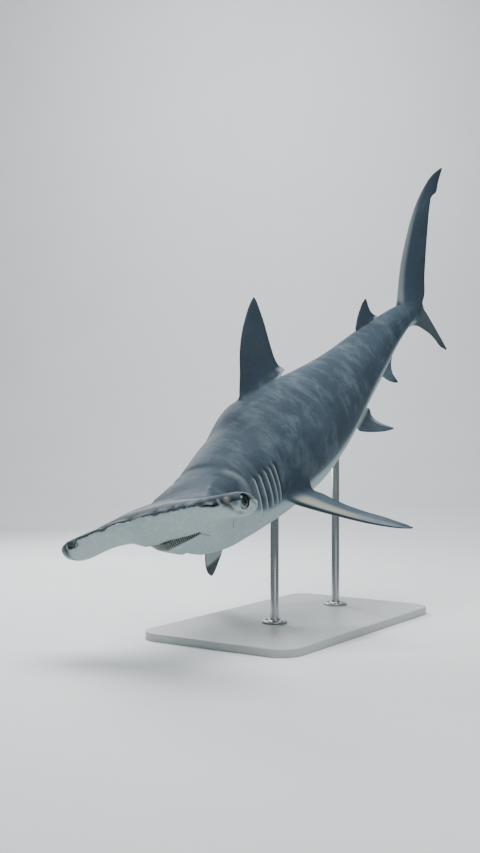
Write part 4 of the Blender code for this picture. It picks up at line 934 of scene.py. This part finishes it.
def eye_material():
    """Eye: cast clear resin over paint, glossy as if wet, with a dark upright pupil in a dark blue-grey iris and a
    paler rim that is brightest at the lower front."""
    made, tree, shader = new_material("clear_resin_eye", Roughness=0.05, Specular_IOR_Level=0.45)
    gaze = attribute(tree, "gaze", "Vector")
    _, back, up = node(tree, "ShaderNodeSeparateXYZ", Vector=gaze).outputs
    across = maths(tree, "POWER", maths(tree, "ABSOLUTE", maths(tree, "SUBTRACT", back, 0.06)), 2.0)
    upright = maths(tree, "MULTIPLY", maths(tree, "SUBTRACT", up, 0.05), 0.68)
    upright = maths(tree, "POWER", maths(tree, "ABSOLUTE", upright), 2.0)
    from_pupil = maths(tree, "SQRT", maths(tree, "ADD", across, upright))
    flat = node(tree, "ShaderNodeCombineXYZ", X=back, Y=up).outputs[0]
    from_middle = node(tree, "ShaderNodeVectorMath", {"operation": "LENGTH"}, in0=flat).outputs["Value"]
    low_front = maths(tree, "MULTIPLY_ADD", back, -0.8, maths(tree, "MULTIPLY", up, -0.9))
    iris = ramp(tree, noise(tree, gaze, 22.0, 4.0), (0.3, "#151D23"), (0.7, "#2C3840"))
    rim = ramp(tree, from_middle, (0.60, BLACK), (0.68, WHITE), (0.78, WHITE), (0.84, BLACK))
    rim = maths(tree, "MULTIPLY", rim, maths(tree, "MULTIPLY_ADD", low_front, 1.0, 0.25, clamp=True), clamp=True)
    colour = mix(tree, fade(tree, from_pupil, 0.40, 0.46), "#020304", iris)
    colour = mix(tree, fade(tree, from_middle, 0.74, 0.86), colour, "#18222A")
    tree.links.new(mix(tree, rim, colour, "#74868D"), shader.inputs["Base Color"])
    return made


def tooth_material():
    """Teeth: cast resin painted as enamel, ivory greyed with painted shade of the mouth, glossy and a little uneven.
    """
    return mottled_material(
        "painted_tooth_resin", 90.0, "#7E8888", "#A9AFAA", Roughness=0.25, Subsurface_Weight=0.08,
    )[0]


def board_material():
    """Base: spray-painted fibreboard, a pale grey satin with a faint orange peel, 2 mm across."""
    made, tree, shader, place = mottled_material(
        "spray_painted_fibreboard", 6.0, "#A9ADAE", "#B3B7B7", Roughness=0.40,
    )
    bump(tree, shader, noise(tree, place, 420.0, 2.0), 0.0006, 0.3)
    return made


def rod_material():
    """Rods and flanges: turned and brushed stainless steel, with fine lines round them, 1 mm apart."""
    made, tree, shader = new_material("brushed_stainless_steel", Metallic=1.0, Roughness=0.30, Anisotropic=0.4)
    place = node(tree, "ShaderNodeTexCoord").outputs["Object"]
    brushed = noise(tree, mapping(tree, place, (2.0, 2.0, 900.0)), 1.0, 2.0)
    tree.links.new(ramp(tree, brushed, (0.3, "#A3A6A8"), (0.7, "#B4B7B8")), shader.inputs["Base Color"])
    tree.links.new(maths(tree, "MULTIPLY_ADD", brushed, 0.10, 0.24), shader.inputs["Roughness"])
    return made


def floor_material():
    """Studio floor: pale matt paper, rolled out smooth."""
    return mottled_material(
        "matt_studio_paper", 1.5, "#E4E7E9", "#E8EBEC", Roughness=0.9, Specular_IOR_Level=0.2,
    )[0]


SKIN, SHADED_LINING = skin_material(), shaded_lining_material()
EYE, ENAMEL = eye_material(), tooth_material()
BOARD, STEEL, PAPER = board_material(), rod_material(), floor_material()


def new_object(name, points, faces, *materials):
    """Makes a smooth object of points in metres, with its faces pointing out."""
    mesh = bpy.data.meshes.new(name)
    mesh.from_pydata([Vector(p) for p in points], [], faces)
    bm = bmesh.new()
    bm.from_mesh(mesh)
    bmesh.ops.recalc_face_normals(bm, faces=bm.faces)
    if bm.calc_volume(signed=True) < 0:
        bmesh.ops.reverse_faces(bm, faces=bm.faces)
    bm.to_mesh(mesh)
    bm.free()
    for material in materials:
        mesh.materials.append(material)
    mesh.shade_smooth()
    return in_scene(name, mesh)


def in_scene(name, data):
    """Makes an object of the data in the scene."""
    made = bpy.data.objects.new(name, data)
    bpy.context.scene.collection.objects.link(made)
    return made


def combine(obj, others, operation):
    """Joins the other objects to obj, or cuts them from it, and removes them."""
    tools = bpy.data.collections.new("tools")
    bpy.context.scene.collection.children.link(tools)
    for other in others:
        bpy.context.scene.collection.objects.unlink(other)
        tools.objects.link(other)
    boolean = obj.modifiers.new(operation, "BOOLEAN")
    boolean.operation = operation
    boolean.operand_type = "COLLECTION"
    boolean.collection = tools
    boolean.solver = "EXACT"
    boolean.material_mode = "TRANSFER"
    graph = bpy.context.evaluated_depsgraph_get()
    joined = bpy.data.meshes.new_from_object(obj.evaluated_get(graph))
    obj.modifiers.clear()
    obj.data = joined
    for other in others:
        bpy.data.objects.remove(other)
    bpy.data.collections.remove(tools)


def ball(centre, radii, columns, rows):
    """Points and faces of an ellipsoid with its poles along X."""
    points, faces = [], []
    for r in range(1, rows):
        turn = math.pi * r / rows
        for c in range(columns):
            around = 2 * math.pi * c / columns
            unit = (math.cos(turn), math.sin(turn) * math.cos(around), math.sin(turn) * math.sin(around))
            points.append([centre[k] + radii[k] * unit[k] for k in range(3)])
    for r in range(rows - 2):
        faces += ring_faces(r * columns, (r + 1) * columns, columns)
    near, far = len(points), len(points) + 1
    points += [(centre[0] + radii[0], centre[1], centre[2]), (centre[0] - radii[0], centre[1], centre[2])]
    last = (rows - 2) * columns
    for c in range(columns):
        n = (c + 1) % columns
        faces += [(near, c, n), (far, last + n, last + c)]
    return points, faces


def ring_faces(low, high, count):
    """Faces between two rings of points, which start at the indices low and high."""
    return [(low + k, low + (k + 1) % count, high + (k + 1) % count, high + k) for k in range(count)]


def tube_along(centres, radius, sides, closed):
    """Points and faces of a tube along centres. An open tube tapers to both ends."""
    centres = np.array(centres, float)
    count = len(centres)
    if closed:
        along = np.roll(centres, -1, axis=0) - np.roll(centres, 1, axis=0)
        outward = centres - centres.mean(axis=0)
    else:
        along = np.gradient(centres, axis=0)
        outward = np.broadcast_to((0.0, 0.0, 1.0), centres.shape)
    side = np.cross(along, outward)
    side /= np.linalg.norm(side, axis=1)[:, None]
    up = np.cross(side, along)
    up /= np.linalg.norm(up, axis=1)[:, None]
    points, faces = [], []
    for k in range(count):
        thin = radius if closed else radius * math.sin(math.pi * (k + 0.5) / count) ** 0.5
        for c in range(sides):
            around = 2 * math.pi * c / sides
            points.append(centres[k] + thin * (side[k] * math.cos(around) + up[k] * math.sin(around)))
    for k in range(count if closed else count - 1):
        faces += ring_faces(k * sides, (k + 1) % count * sides, sides)
    if not closed:
        faces += [tuple(range(sides)), tuple(range((count - 1) * sides, count * sides))]
    return points, faces


def stacked(loops):
    """Points and faces of loops of the same count, one over the other, closed at both ends."""
    n = len(loops[0])
    points = [point for loop in loops for point in loop]
    faces = [tuple(range(n)), tuple(range(len(points) - n, len(points)))]
    for level in range(len(loops) - 1):
        faces += ring_faces(level * n, (level + 1) * n, n)
    return points, faces


def mouth_line(span, open_share):
    """Station of the upper lip at open_share 0, and of the lower lip at 1."""
    out = abs(span) / MOUTH_HALF_WIDTH
    gape = MOUTH_GAPE * (1 + MOUTH_SIDE_GAPE * out) * math.sqrt(max(1 - out**3, MOUTH_CORNER))
    return MOUTH_FRONT + MOUTH_SWEEP * out**MOUTH_CURVE + open_share * gape


def mouth_slot():
    """Points and faces of a bent slot from under the head up to the roof of the mouth."""
    across = MOUTH_HALF_WIDTH * np.sin(np.linspace(-math.pi / 2, math.pi / 2, MOUTH_COLUMNS))
    outline = [(a, mouth_line(a, 0)) for a in across] + [(a, mouth_line(a, 1)) for a in across[::-1]]
    n = len(outline)
    points = [(a, s, z) for z in (MOUTH_ROOF, MOUTH_FLOOR) for a, s in outline]
    faces = []
    for level in (0, n):
        for k in range(n // 2 - 1):
            faces.append((level + k, level + k + 1, level + n - 2 - k, level + n - 1 - k))
    return points, faces + ring_faces(0, n, n)


def lip(open_share, underside):
    """Points and faces of a lip, half sunk along the edge of the mouth."""
    offset = (open_share - 0.5) * LIP_OUTSET
    line = []
    for span in np.linspace(-1, 1, LIP_COLUMNS) * MOUTH_HALF_WIDTH:
        station = mouth_line(span, open_share) + offset
        line.append((span, station, underside(span, station) + LIP_SINK))
    return tube_along(line, LIP_RADIUS, 12, False)


def eye_circle():
    """Stations and heights round the eye's opening."""
    return [
        (EYE_STATION + LID_RADIUS * math.cos(turn), EYE_DROP + LID_RADIUS * math.sin(turn))
        for turn in turns(LID_POINTS)
    ]


def eye_rim(side, surface):
    """Ring of points on the skin round the eye's opening, sunk by the lid's sink share of its thickness."""
    sink = LID_SINK * LID_THICKNESS
    return [(side * (surface(side, station, height) - sink), station, height) for station, height in eye_circle()]


def eye_pit(side):
    """Points and faces of the round opening in front of the eye, from the ball's middle out of the skin."""
    spans = (EYE_SPAN, HALF_SPAN + PIT_CLEARANCE)
    return stacked([[(side * span, station, height) for station, height in eye_circle()] for span in spans])


def stroke_reach(points, path, width):
    """How much a stroke along the path touches each point, from 0 to 1. All are in metres."""
    nearest = np.full(len(points), np.inf)
    for start, end in zip(path, path[1:]):
        along = end - start
        share = np.clip((points - start) @ along / (along @ along), 0, 1)
        away = np.linalg.norm(points - start - share[:, None] * along, axis=1)
        nearest = np.minimum(nearest, away)
    return bell(nearest, 0.0, width)


def scallop(span):
    """Swelling of the hammer's front edge: up to 1 at the crest of a scallop, and 0 where two meet."""
    ends = np.array(SCALLOP_ENDS)
    k = np.clip(np.searchsorted(ends, span) - 1, 0, len(ends) - 2)
    length = ends[k + 1] - ends[k]
    share = np.clip((span - ends[k]) / length, 0, 1)
    crest = np.sin(math.pi * share**SCALLOP_LEAN) ** SCALLOP_FULLNESS
    return crest * np.sqrt(length / FULL_SCALLOP) * ease((SCALLOP_LIMIT - np.abs(span)) / SCALLOP_FADE)


def mirrored_reach(points, path, width):
    """Reach of a stroke and of its mirror image on the other side."""
    return np.maximum(*(stroke_reach(points, path * (side, 1, 1), width) for side in (1, -1)))


def sculpt(straight, normals, marks, underside):
    """Moves the straight points, in metres, into the head's and the body's fine forms, and marks them."""
    span, edge = straight[:, 0] / UNIT_LENGTH, marks["edge"]
    swell = scallop(span)
    wave = swell - SCALLOP_MEAN * ease((SCALLOP_LIMIT - np.abs(span)) / SCALLOP_FADE)
    moved = straight.copy()
    moved[:, 1] -= SCALLOP_FORWARD * wave * bell(edge, 0.0, FORWARD_REACH)
    moved[:, 2] += SCALLOP_RISE * wave * bell(edge, RISE_MIDDLE, RISE_REACH)
    ragged = sum(height * np.sin(pace * span + start) for height, pace, start in FOLD_RAGGEDNESS)
    line = edge - smooth_curve(EDGE_FOLD, span) - FOLD_FOLLOWS * wave - ragged
    share, pace, start = FOLD_UNEVENNESS
    strength = smooth_curve(EDGE_FOLD_STRENGTH, span) * (1 - share + share * np.sin(pace * span + start))
    width = smooth_curve(EDGE_FOLD_WIDTH, span)
    groove = strength * bell(line, 0.0, width)
    ridge = strength * bell(line, RIDGE_PLACE * width, RIDGE_WIDTH * width)
    height = RIDGE_HEIGHT * ridge - EDGE_FOLD_DEPTH * groove
    # Painted shade darkens the groove, and a painted highlight lights the ridge at the scallops' crests
    marks["fold"] = marks["fold"] + 1.25 * groove
    marks["light"] = marks["light"] + 0.90 * ridge * fade_in(swell, 0.35, 0.95)
    # Bands behind the fold: a line of painted highlight and a band of painted shade
    for name, amount, middle, reach, limit, inside in EDGE_BANDS:
        marks[name] = marks[name] + amount * bell(line, middle, reach) * fade_in(np.abs(span), limit, inside)
    marks["tone"] = np.where(np.abs(edge) < EDGE_TONE_REACH, fade_in(line, -0.0015, 0.0035), marks["tone"])
    strokes = [
        (np.array([(a, s, underside(a, s) if z is None else z) for a, s, z in path]), *rest)
        for path, *rest in HEAD_STROKES
    ]
    strokes += [
        (tube_point(*np.array(path).T * ((1,), (math.pi / 180,))), *rest) for path, *rest in BODY_STROKES
    ]
    for path, width, rise, painted in strokes:
        reach = mirrored_reach(straight, path * UNIT_LENGTH, width)
        height = height + rise * reach
        for name, amount in painted.items():
            marks[name] = marks[name] + amount * reach
    return moved + normals * height[:, None]


def near_fine_place(vertex):
    """Whether a straight vertex lies where the head's fine forms need more points."""
    span, station, height = (value / UNIT_LENGTH for value in vertex.co)
    reach = (math.hypot(abs(span) - a, station - s) < radius for a, s, radius in FINE_PLACES)
    return height < 0 and station < NECK_END and any(reach)


def refine(bm, near):
    """Splits the faces between the vertices that are near."""
    edges = [e for e in bm.edges if e.verts[0] in near and e.verts[1] in near]
    bmesh.ops.subdivide_edges(bm, edges=edges, cuts=1, use_grid_fill=True)


def build_skin():
    """Grows, sculpts and poses the skin, cuts the head's openings and gives every point its marks."""
    grown = grow_skin()
    points = np.array(grown.points)
    near = [f for f in grown.faces if max(points[f[0]][1], points[f[2]][1]) < HEAD_END]
    hull = BVHTree.FromPolygons([Vector(p) for p in points], near)

    def underside(span, station):
        return hull.ray_cast(Vector((span, station, -1)), Vector((0, 0, 1)))[0][2]

    def surface(side, station, height):
        found = hull.ray_cast(Vector((side, station, height)), Vector((-side, 0, 0)))[0]
        return max(LID_LEAST_SPAN, abs(found[0])) if found else LID_LEAST_SPAN

    made = new_object("shark_skin", points * UNIT_LENGTH, grown.faces, SKIN, SHADED_LINING)
    bm = bmesh.new()
    bm.from_mesh(made.data)
    layers = {name: bm.verts.layers.float.new(name) for name in MARKS}
    for vertex, *values in zip(bm.verts, *(grown.marks[name] for name in MARKS)):
        for name, value in zip(MARKS, values):
            vertex[layers[name]] = value
    smooth_roots(bm, layers["soft"])
    for low, high in FINE_EDGES:
        refine(bm, {v for v in bm.verts if low < v[layers["edge"]] < high})
    for _ in range(FINE_PLACE_PASSES):
        refine(bm, {v for v in bm.verts if near_fine_place(v)})
    bm.normal_update()
    straight = np.array([v.co for v in bm.verts])
    normals = np.array([v.normal for v in bm.verts])
    marks = {name: np.array([v[layers[name]] for v in bm.verts]) for name in MARKS}
    moved = sculpt(straight, normals, marks, underside)
    for vertex, place in zip(bm.verts, posed(moved / UNIT_LENGTH)):
        vertex.co = place
    for layer in MARKS:
        bm.verts.layers.float.remove(bm.verts.layers.float[layer])
    bm.to_mesh(made.data)
    bm.free()
    tree = KDTree(len(straight))
    for vertex in made.data.vertices:
        tree.insert(vertex.co, vertex.index)
    tree.balance()
    cut_head(made, underside, surface)
    carry_marks(made, tree, np.column_stack([straight] + [marks[name] for name in PAINTED]))
    return made, underside


def smooth_roots(bm, soft_layer):
    """Softens the fins' roots and the neck's start into fillets."""
    soft = {v for v in bm.verts if v[soft_layer] > 0}
    for _ in range(SOFT_NEIGHBOURS):
        soft |= {edge.other_vert(v) for v in soft for edge in v.link_edges}
    for _ in range(SMOOTHING_PASSES):
        bmesh.ops.smooth_vert(bm, verts=list(soft), factor=0.5, use_axis_x=True, use_axis_y=True, use_axis_z=True)


def cut_head(made, underside, surface):
    """Cuts the mouth, nostrils and eye openings, and joins the lips and lids."""
    cutters = [new_object("slot", posed(mouth_slot()[0]), mouth_slot()[1], SHADED_LINING)]
    for side in (1, -1):
        centre = (side * EYE_SPAN, EYE_STATION, EYE_DROP)
        nostril = (side * NOSTRIL_PLACE[0], *NOSTRIL_PLACE[1:])
        for points, faces in (
            ball(centre, (EYE_RADIUS * 1.01,) * 3, 48, 32), ball(nostril, NOSTRIL_SIZE, 32, 16), eye_pit(side),
        ):
            cutters.append(new_object("cutter", posed(points), faces, SHADED_LINING))
    combine(made, cutters, "DIFFERENCE")
    shapes = [lip(open_share, underside) for open_share in (0, 1)]
    shapes += [tube_along(eye_rim(side, surface), LID_THICKNESS, 10, True) for side in (1, -1)]
    combine(made, [new_object("grown", posed(p), f, SKIN) for p, f in shapes], "UNION")
    made.data.shade_smooth()


def carry_marks(made, tree, values):
    """Gives each point of the cut skin its place on the straight body and its marks."""
    vertices = made.data.vertices
    found = np.zeros((len(vertices), values.shape[1]))
    for vertex in vertices:
        near = tree.find_n(vertex.co, 3)
        weights = np.array([1 / (distance + 1e-6) for _, _, distance in near])
        found[vertex.index] = weights @ values[[k for _, k, _ in near]] / weights.sum()
    place = made.data.attributes.new("straight", "FLOAT_VECTOR", "POINT")
    place.data.foreach_set("vector", found[:, :3].ravel())
    for k, name in enumerate(PAINTED):
        mark = made.data.attributes.new(name, "FLOAT", "POINT")
        mark.data.foreach_set("value", found[:, 3 + k])


def build_eye(prefix, side):
    """One eyeball in its socket. Side is 1 on the left. Gaze is the direction from its middle, outwards along X."""
    centre = np.array((side * EYE_SPAN, EYE_STATION, EYE_DROP))
    points, faces = ball((0, 0, 0), (1, 1, 1), 64, 48)
    points = np.array(points)
    cornea = 1 + CORNEA_RISE * np.clip((side * points[:, 0] - CORNEA_START) / (1 - CORNEA_START), 0, 1) ** 2
    radius = EYE_RADIUS * EYE_FIT
    made = new_object(prefix + "_eyeball", posed(centre + points * cornea[:, None] * radius), faces, EYE)
    gaze = made.data.attributes.new("gaze", "FLOAT_VECTOR", "POINT")
    gaze.data.foreach_set("vector", (points * (side, 1, 1)).ravel())
    return made


def new_tree(name, inputs, output):
    """Tree of Geometry Nodes. Inputs are (name, kind of socket, default). Returns it with its inputs' sockets and
    its output's."""
    tree = bpy.data.node_groups.new(name, "GeometryNodeTree")
    for label, kind, value in inputs:
        socket = tree.interface.new_socket(label, in_out="INPUT", socket_type="NodeSocket" + kind)
        if value is not None:
            socket.default_value = value
    tree.interface.new_socket(output, in_out="OUTPUT", socket_type="NodeSocketGeometry")
    return tree, node(tree, "NodeGroupInput").outputs, node(tree, "NodeGroupOutput").inputs[output]


def finish_tree(tree, instances, material, result):
    """Makes the instances real and gives them their material, as the tree's result."""
    real = node(tree, "GeometryNodeRealizeInstances", Geometry=instances).outputs[0]
    painted = node(tree, "GeometryNodeSetMaterial", Geometry=real, Material=material).outputs[0]
    tree.links.new(painted, result)
    return tree


def tooth_tree():
    """Sets teeth along rows: a tree of Geometry Nodes that turns guide lines into rows of flattened cones."""
    tree, given, result = new_tree("tooth_rows", (
        ("Rows", "Geometry", None), ("Spacing", "Float", TOOTH_SPACING), ("Width", "Float", TOOTH_WIDTH),
        ("Seed", "Int", TOOTH_SEED),
    ), "Teeth")
    curves = node(tree, "GeometryNodeMeshToCurve", Mesh=given["Rows"]).outputs["Curve"]
    spaced = node(tree, "GeometryNodeResampleCurve", {"mode": "LENGTH"}, Curve=curves, Length=given["Spacing"])
    cone = node(
        tree, "GeometryNodeMeshCone", Vertices=8, Side_Segments=2, Radius_Top=0.0002, Radius_Bottom=0.5, Depth=1.0,
    )
    tooth = node(tree, "GeometryNodeTransform", Geometry=cone.outputs["Mesh"], Scale=(1.0, 0.5, 1.0))
    aim = node(tree, "GeometryNodeInputNamedAttribute", {"data_type": "FLOAT_VECTOR"}, Name="aim")
    length = node(tree, "GeometryNodeInputNamedAttribute", {"data_type": "FLOAT"}, Name="length")
    tangent = node(tree, "GeometryNodeInputTangent").outputs[0]
    upright = node(tree, "FunctionNodeAlignRotationToVector", {"axis": "Z"}, Vector=aim.outputs[0])
    turned = node(
        tree, "FunctionNodeAlignRotationToVector", {"axis": "X", "pivot_axis": "Z"}, Rotation=upright.outputs[0],
        Vector=tangent,
    )
    vary = node(tree, "FunctionNodeRandomValue", {"data_type": "FLOAT"}, Seed=given["Seed"], in2=0.82, in3=1.12)
    tall = maths(tree, "MULTIPLY", length.outputs[0], vary.outputs[1])
    scale = node(tree, "ShaderNodeCombineXYZ", X=given["Width"], Y=given["Width"], Z=tall).outputs[0]
    placed = node(
        tree, "GeometryNodeInstanceOnPoints", Points=spaced.outputs[0], Instance=tooth.outputs[0],
        Rotation=turned.outputs[0], Scale=scale,
    )
    return finish_tree(tree, placed.outputs[0], ENAMEL, result)


def evaluated(name, made, tree, sizes):
    """Runs a tree of Geometry Nodes on an object once, and keeps the result as a plain mesh."""
    modifier = made.modifiers.new(name, "NODES")
    modifier.node_group = tree
    for item in tree.interface.items_tree:
        if item.in_out == "INPUT" and item.name in sizes:
            modifier[item.identifier] = sizes[item.name]
    graph = bpy.context.evaluated_depsgraph_get()
    mesh = bpy.data.meshes.new_from_object(made.evaluated_get(graph))
    made.modifiers.clear()
    made.data = mesh
    return made


def build_teeth(underside):
    """Rows of small pointed teeth inside both lips."""
    points, edges, tips, lengths = [], [], [], []
    for rows, lip_share, aim in ((UPPER_TEETH, 0, UPPER_AIM), (LOWER_TEETH, 1, LOWER_AIM)):
        for open_share, rise, length in rows:
            first = len(points)
            for span in np.linspace(-TEETH_SPREAD, TEETH_SPREAD, 61) * MOUTH_HALF_WIDTH:
                height = underside(span, mouth_line(span, lip_share)) + rise / UNIT_LENGTH
                point = np.array((span, mouth_line(span, open_share), height))
                points.append(point)
                tips.append(point + np.array(aim) / UNIT_LENGTH)
                lengths.append(length * (1 - SIDE_TOOTH_LOSS * (span / MOUTH_HALF_WIDTH) ** 2))
            edges += [(k, k + 1) for k in range(first, len(points) - 1)]
    placed = posed(points)
    mesh = bpy.data.meshes.new("teeth")
    mesh.from_pydata([Vector(p) for p in placed], edges, [])
    mesh.attributes.new("aim", "FLOAT_VECTOR", "POINT").data.foreach_set("vector", (posed(tips) - placed).ravel())
    mesh.attributes.new("length", "FLOAT", "POINT").data.foreach_set("value", lengths)
    sizes = {"Spacing": TOOTH_SPACING, "Width": TOOTH_WIDTH, "Seed": TOOTH_SEED}
    return evaluated("tooth_rows", in_scene("teeth", mesh), tooth_tree(), sizes)


def rounded_outline(half_x, half_y, corner):
    """Outline of a rectangle with round corners, round the origin."""
    outline = []
    for quarter, (sx, sy) in enumerate(((1, 1), (-1, 1), (-1, -1), (1, -1))):
        for k in range(CORNER_POINTS + 1):
            turn = math.pi / 2 * (quarter + k / CORNER_POINTS)
            x, y = sx * (half_x - corner), sy * (half_y - corner)
            outline.append((x + corner * math.cos(turn), y + corner * math.sin(turn)))
    return outline


def build_base():
    """The base board, with its edges rounded over by a router."""
    low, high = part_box("stand_base")
    middle_x, middle_y, top = box_middle("stand_base")
    chamfer = BASE_ROUND_OVER * 0.4
    levels = [(chamfer, low[2]), (0.0, low[2] + chamfer)]
    for turn in np.linspace(0, math.pi / 2, 7):
        levels.append((BASE_ROUND_OVER * (1 - math.cos(turn)), top - BASE_ROUND_OVER * (1 - math.sin(turn))))
    levels.append((BASE_ROUND_OVER * 3, top))
    loops = []
    for inset, height in levels:
        half_x, half_y = (high[0] - low[0]) / 2 - inset, (high[1] - low[1]) / 2 - inset
        outline = rounded_outline(half_x, half_y, BASE_CORNER - inset)
        loops.append([(middle_x + x, middle_y + y, height) for x, y in outline])
    return new_object("stand_base_board", *stacked(loops), BOARD)


def build_rod(name):
    """A rod with its turned foot flange."""
    x, y, rod_top = box_middle(name)
    board_top = box_middle("stand_base")[2]
    profile = [(radius, board_top + height) for radius, height in FLANGE_PROFILE] + [(ROD_RADIUS, rod_top)]
    around = [2 * math.pi * k / ROD_SIDES for k in range(ROD_SIDES)]
    loops = [
        [(x + radius * math.cos(turn), y + radius * math.sin(turn), height) for turn in around]
        for radius, height in profile
    ]
    return new_object(name + "_turned", *stacked(loops), STEEL), (x, y, board_top + FLANGE_TOP)


def screw_tree():
    """Sets screws on a bolt circle: a tree of Geometry Nodes with button heads round a centre."""
    lengths = (("Bolt circle", SCREW_CIRCLE), ("Head radius", SCREW_RADIUS), ("Head height", SCREW_HEIGHT))
    tree, given, result = new_tree("flange_screws", (
        ("Screws", "Int", SCREWS), *((name, "Float", value) for name, value in lengths), ("Centre", "Vector", None),
    ), "Heads")
    circle = node(tree, "GeometryNodeMeshCircle", Vertices=given["Screws"], Radius=given["Bolt circle"]).outputs[0]
    moved = node(tree, "GeometryNodeTransform", Geometry=circle, Translation=given["Centre"]).outputs[0]
    top = maths(tree, "MULTIPLY", given["Head radius"], 0.72)
    head = node(
        tree, "GeometryNodeMeshCone", Vertices=24, Side_Segments=1, Radius_Top=top,
        Radius_Bottom=given["Head radius"], Depth=given["Head height"],
    ).outputs["Mesh"]
    placed = node(tree, "GeometryNodeInstanceOnPoints", Points=moved, Instance=head).outputs[0]
    return finish_tree(tree, placed, STEEL, result)


def build_screws(name, centre, tree):
    """Screws of one flange, round its centre."""
    return evaluated("flange_screws", in_scene(name, bpy.data.meshes.new(name)), tree, {
        "Screws": SCREWS, "Bolt circle": SCREW_CIRCLE, "Head radius": SCREW_RADIUS, "Head height": SCREW_HEIGHT,
        "Centre": centre,
    })


def fasten(piece, slot, *nodes):
    """Makes a piece ride on the root body, in place of the CAD nodes. The slot of its finish is not used."""
    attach(piece, "root")
    if nodes:
        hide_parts(*nodes)


def build_animal():
    skin, underside = build_skin()
    flesh = [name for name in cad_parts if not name.startswith("stand_") and not name.endswith("_eye")]
    fasten(skin, "shark_skin", *flesh)
    fasten(build_teeth(underside), "shark_skin")
    for prefix, side in (("left", 1), ("right", -1)):
        fasten(build_eye(prefix, side), "wet_eye", prefix + "_eye")


def build_stand():
    fasten(build_base(), "stand_board", "stand_base")
    tree = screw_tree()
    for name in ("stand_rod_front", "stand_rod_rear"):
        rod, centre = build_rod(name)
        fasten(rod, "stand_steel", name)
        fasten(build_screws(name + "_screws", centre, tree), "stand_steel")


def build_floor():
    """Floor that sweeps up into a wall behind the animal."""
    profile = [(FLOOR_FRONT, 0.0), (WALL_PLACE - WALL_BEND, 0.0)]
    for k in range(1, BEND_STEPS + 1):
        turn = math.pi / 2 * k / BEND_STEPS
        profile.append((WALL_PLACE - WALL_BEND + WALL_BEND * math.sin(turn), WALL_BEND - WALL_BEND * math.cos(turn)))
    profile.append((WALL_PLACE, WALL_HEIGHT))
    heading = Matrix.Rotation(CAMERA_AZIMUTH, 3, "Z")
    points = [heading @ Vector((x, y, z)) for y, z in profile for x in (-FLOOR_HALF_WIDTH, FLOOR_HALF_WIDTH)]
    faces = [(2 * k, 2 * k + 1, 2 * k + 3, 2 * k + 2) for k in range(len(profile) - 1)]
    mesh = bpy.data.meshes.new("studio_floor")
    mesh.from_pydata(points, [], faces)
    mesh.materials.append(PAPER)
    mesh.shade_smooth()
    in_scene("studio_floor", mesh)


def build_camera():
    """Level camera at the photograph's viewing angle."""
    camera = in_scene("camera", bpy.data.cameras.new("camera"))
    camera.data.lens = LENS
    x, y, _ = box_middle("stand_rod_front")
    camera.location = (x + CAMERA_FROM_ROD[0], y + CAMERA_FROM_ROD[1], CAMERA_FROM_ROD[2])
    camera.rotation_euler = (math.pi / 2, 0, CAMERA_AZIMUTH)
    bpy.context.scene.camera = camera


def add_light(name, place, target, size, power, colour):
    """Square softbox that faces its target."""
    data = bpy.data.lights.new(name, "AREA")
    data.shape = "SQUARE"
    data.size = size
    data.energy = power
    data.color = to_linear(colour)[:3]
    light = in_scene(name, data)
    light.location = place
    light.visible_camera = False
    light.rotation_euler = (Vector(target) - Vector(place)).to_track_quat("-Z", "Y").to_euler()


def build_studio():
    build_floor()
    build_camera()
    for light in LIGHTS:
        add_light(*light)
    world = bpy.data.worlds.new("studio")
    bpy.context.scene.world = world
    world.use_nodes = True
    background = world.node_tree.nodes["Background"]
    background.inputs["Color"].default_value = to_linear(WORLD_COLOUR)
    background.inputs["Strength"].default_value = WORLD_STRENGTH


build_animal()
build_stand()
build_studio()
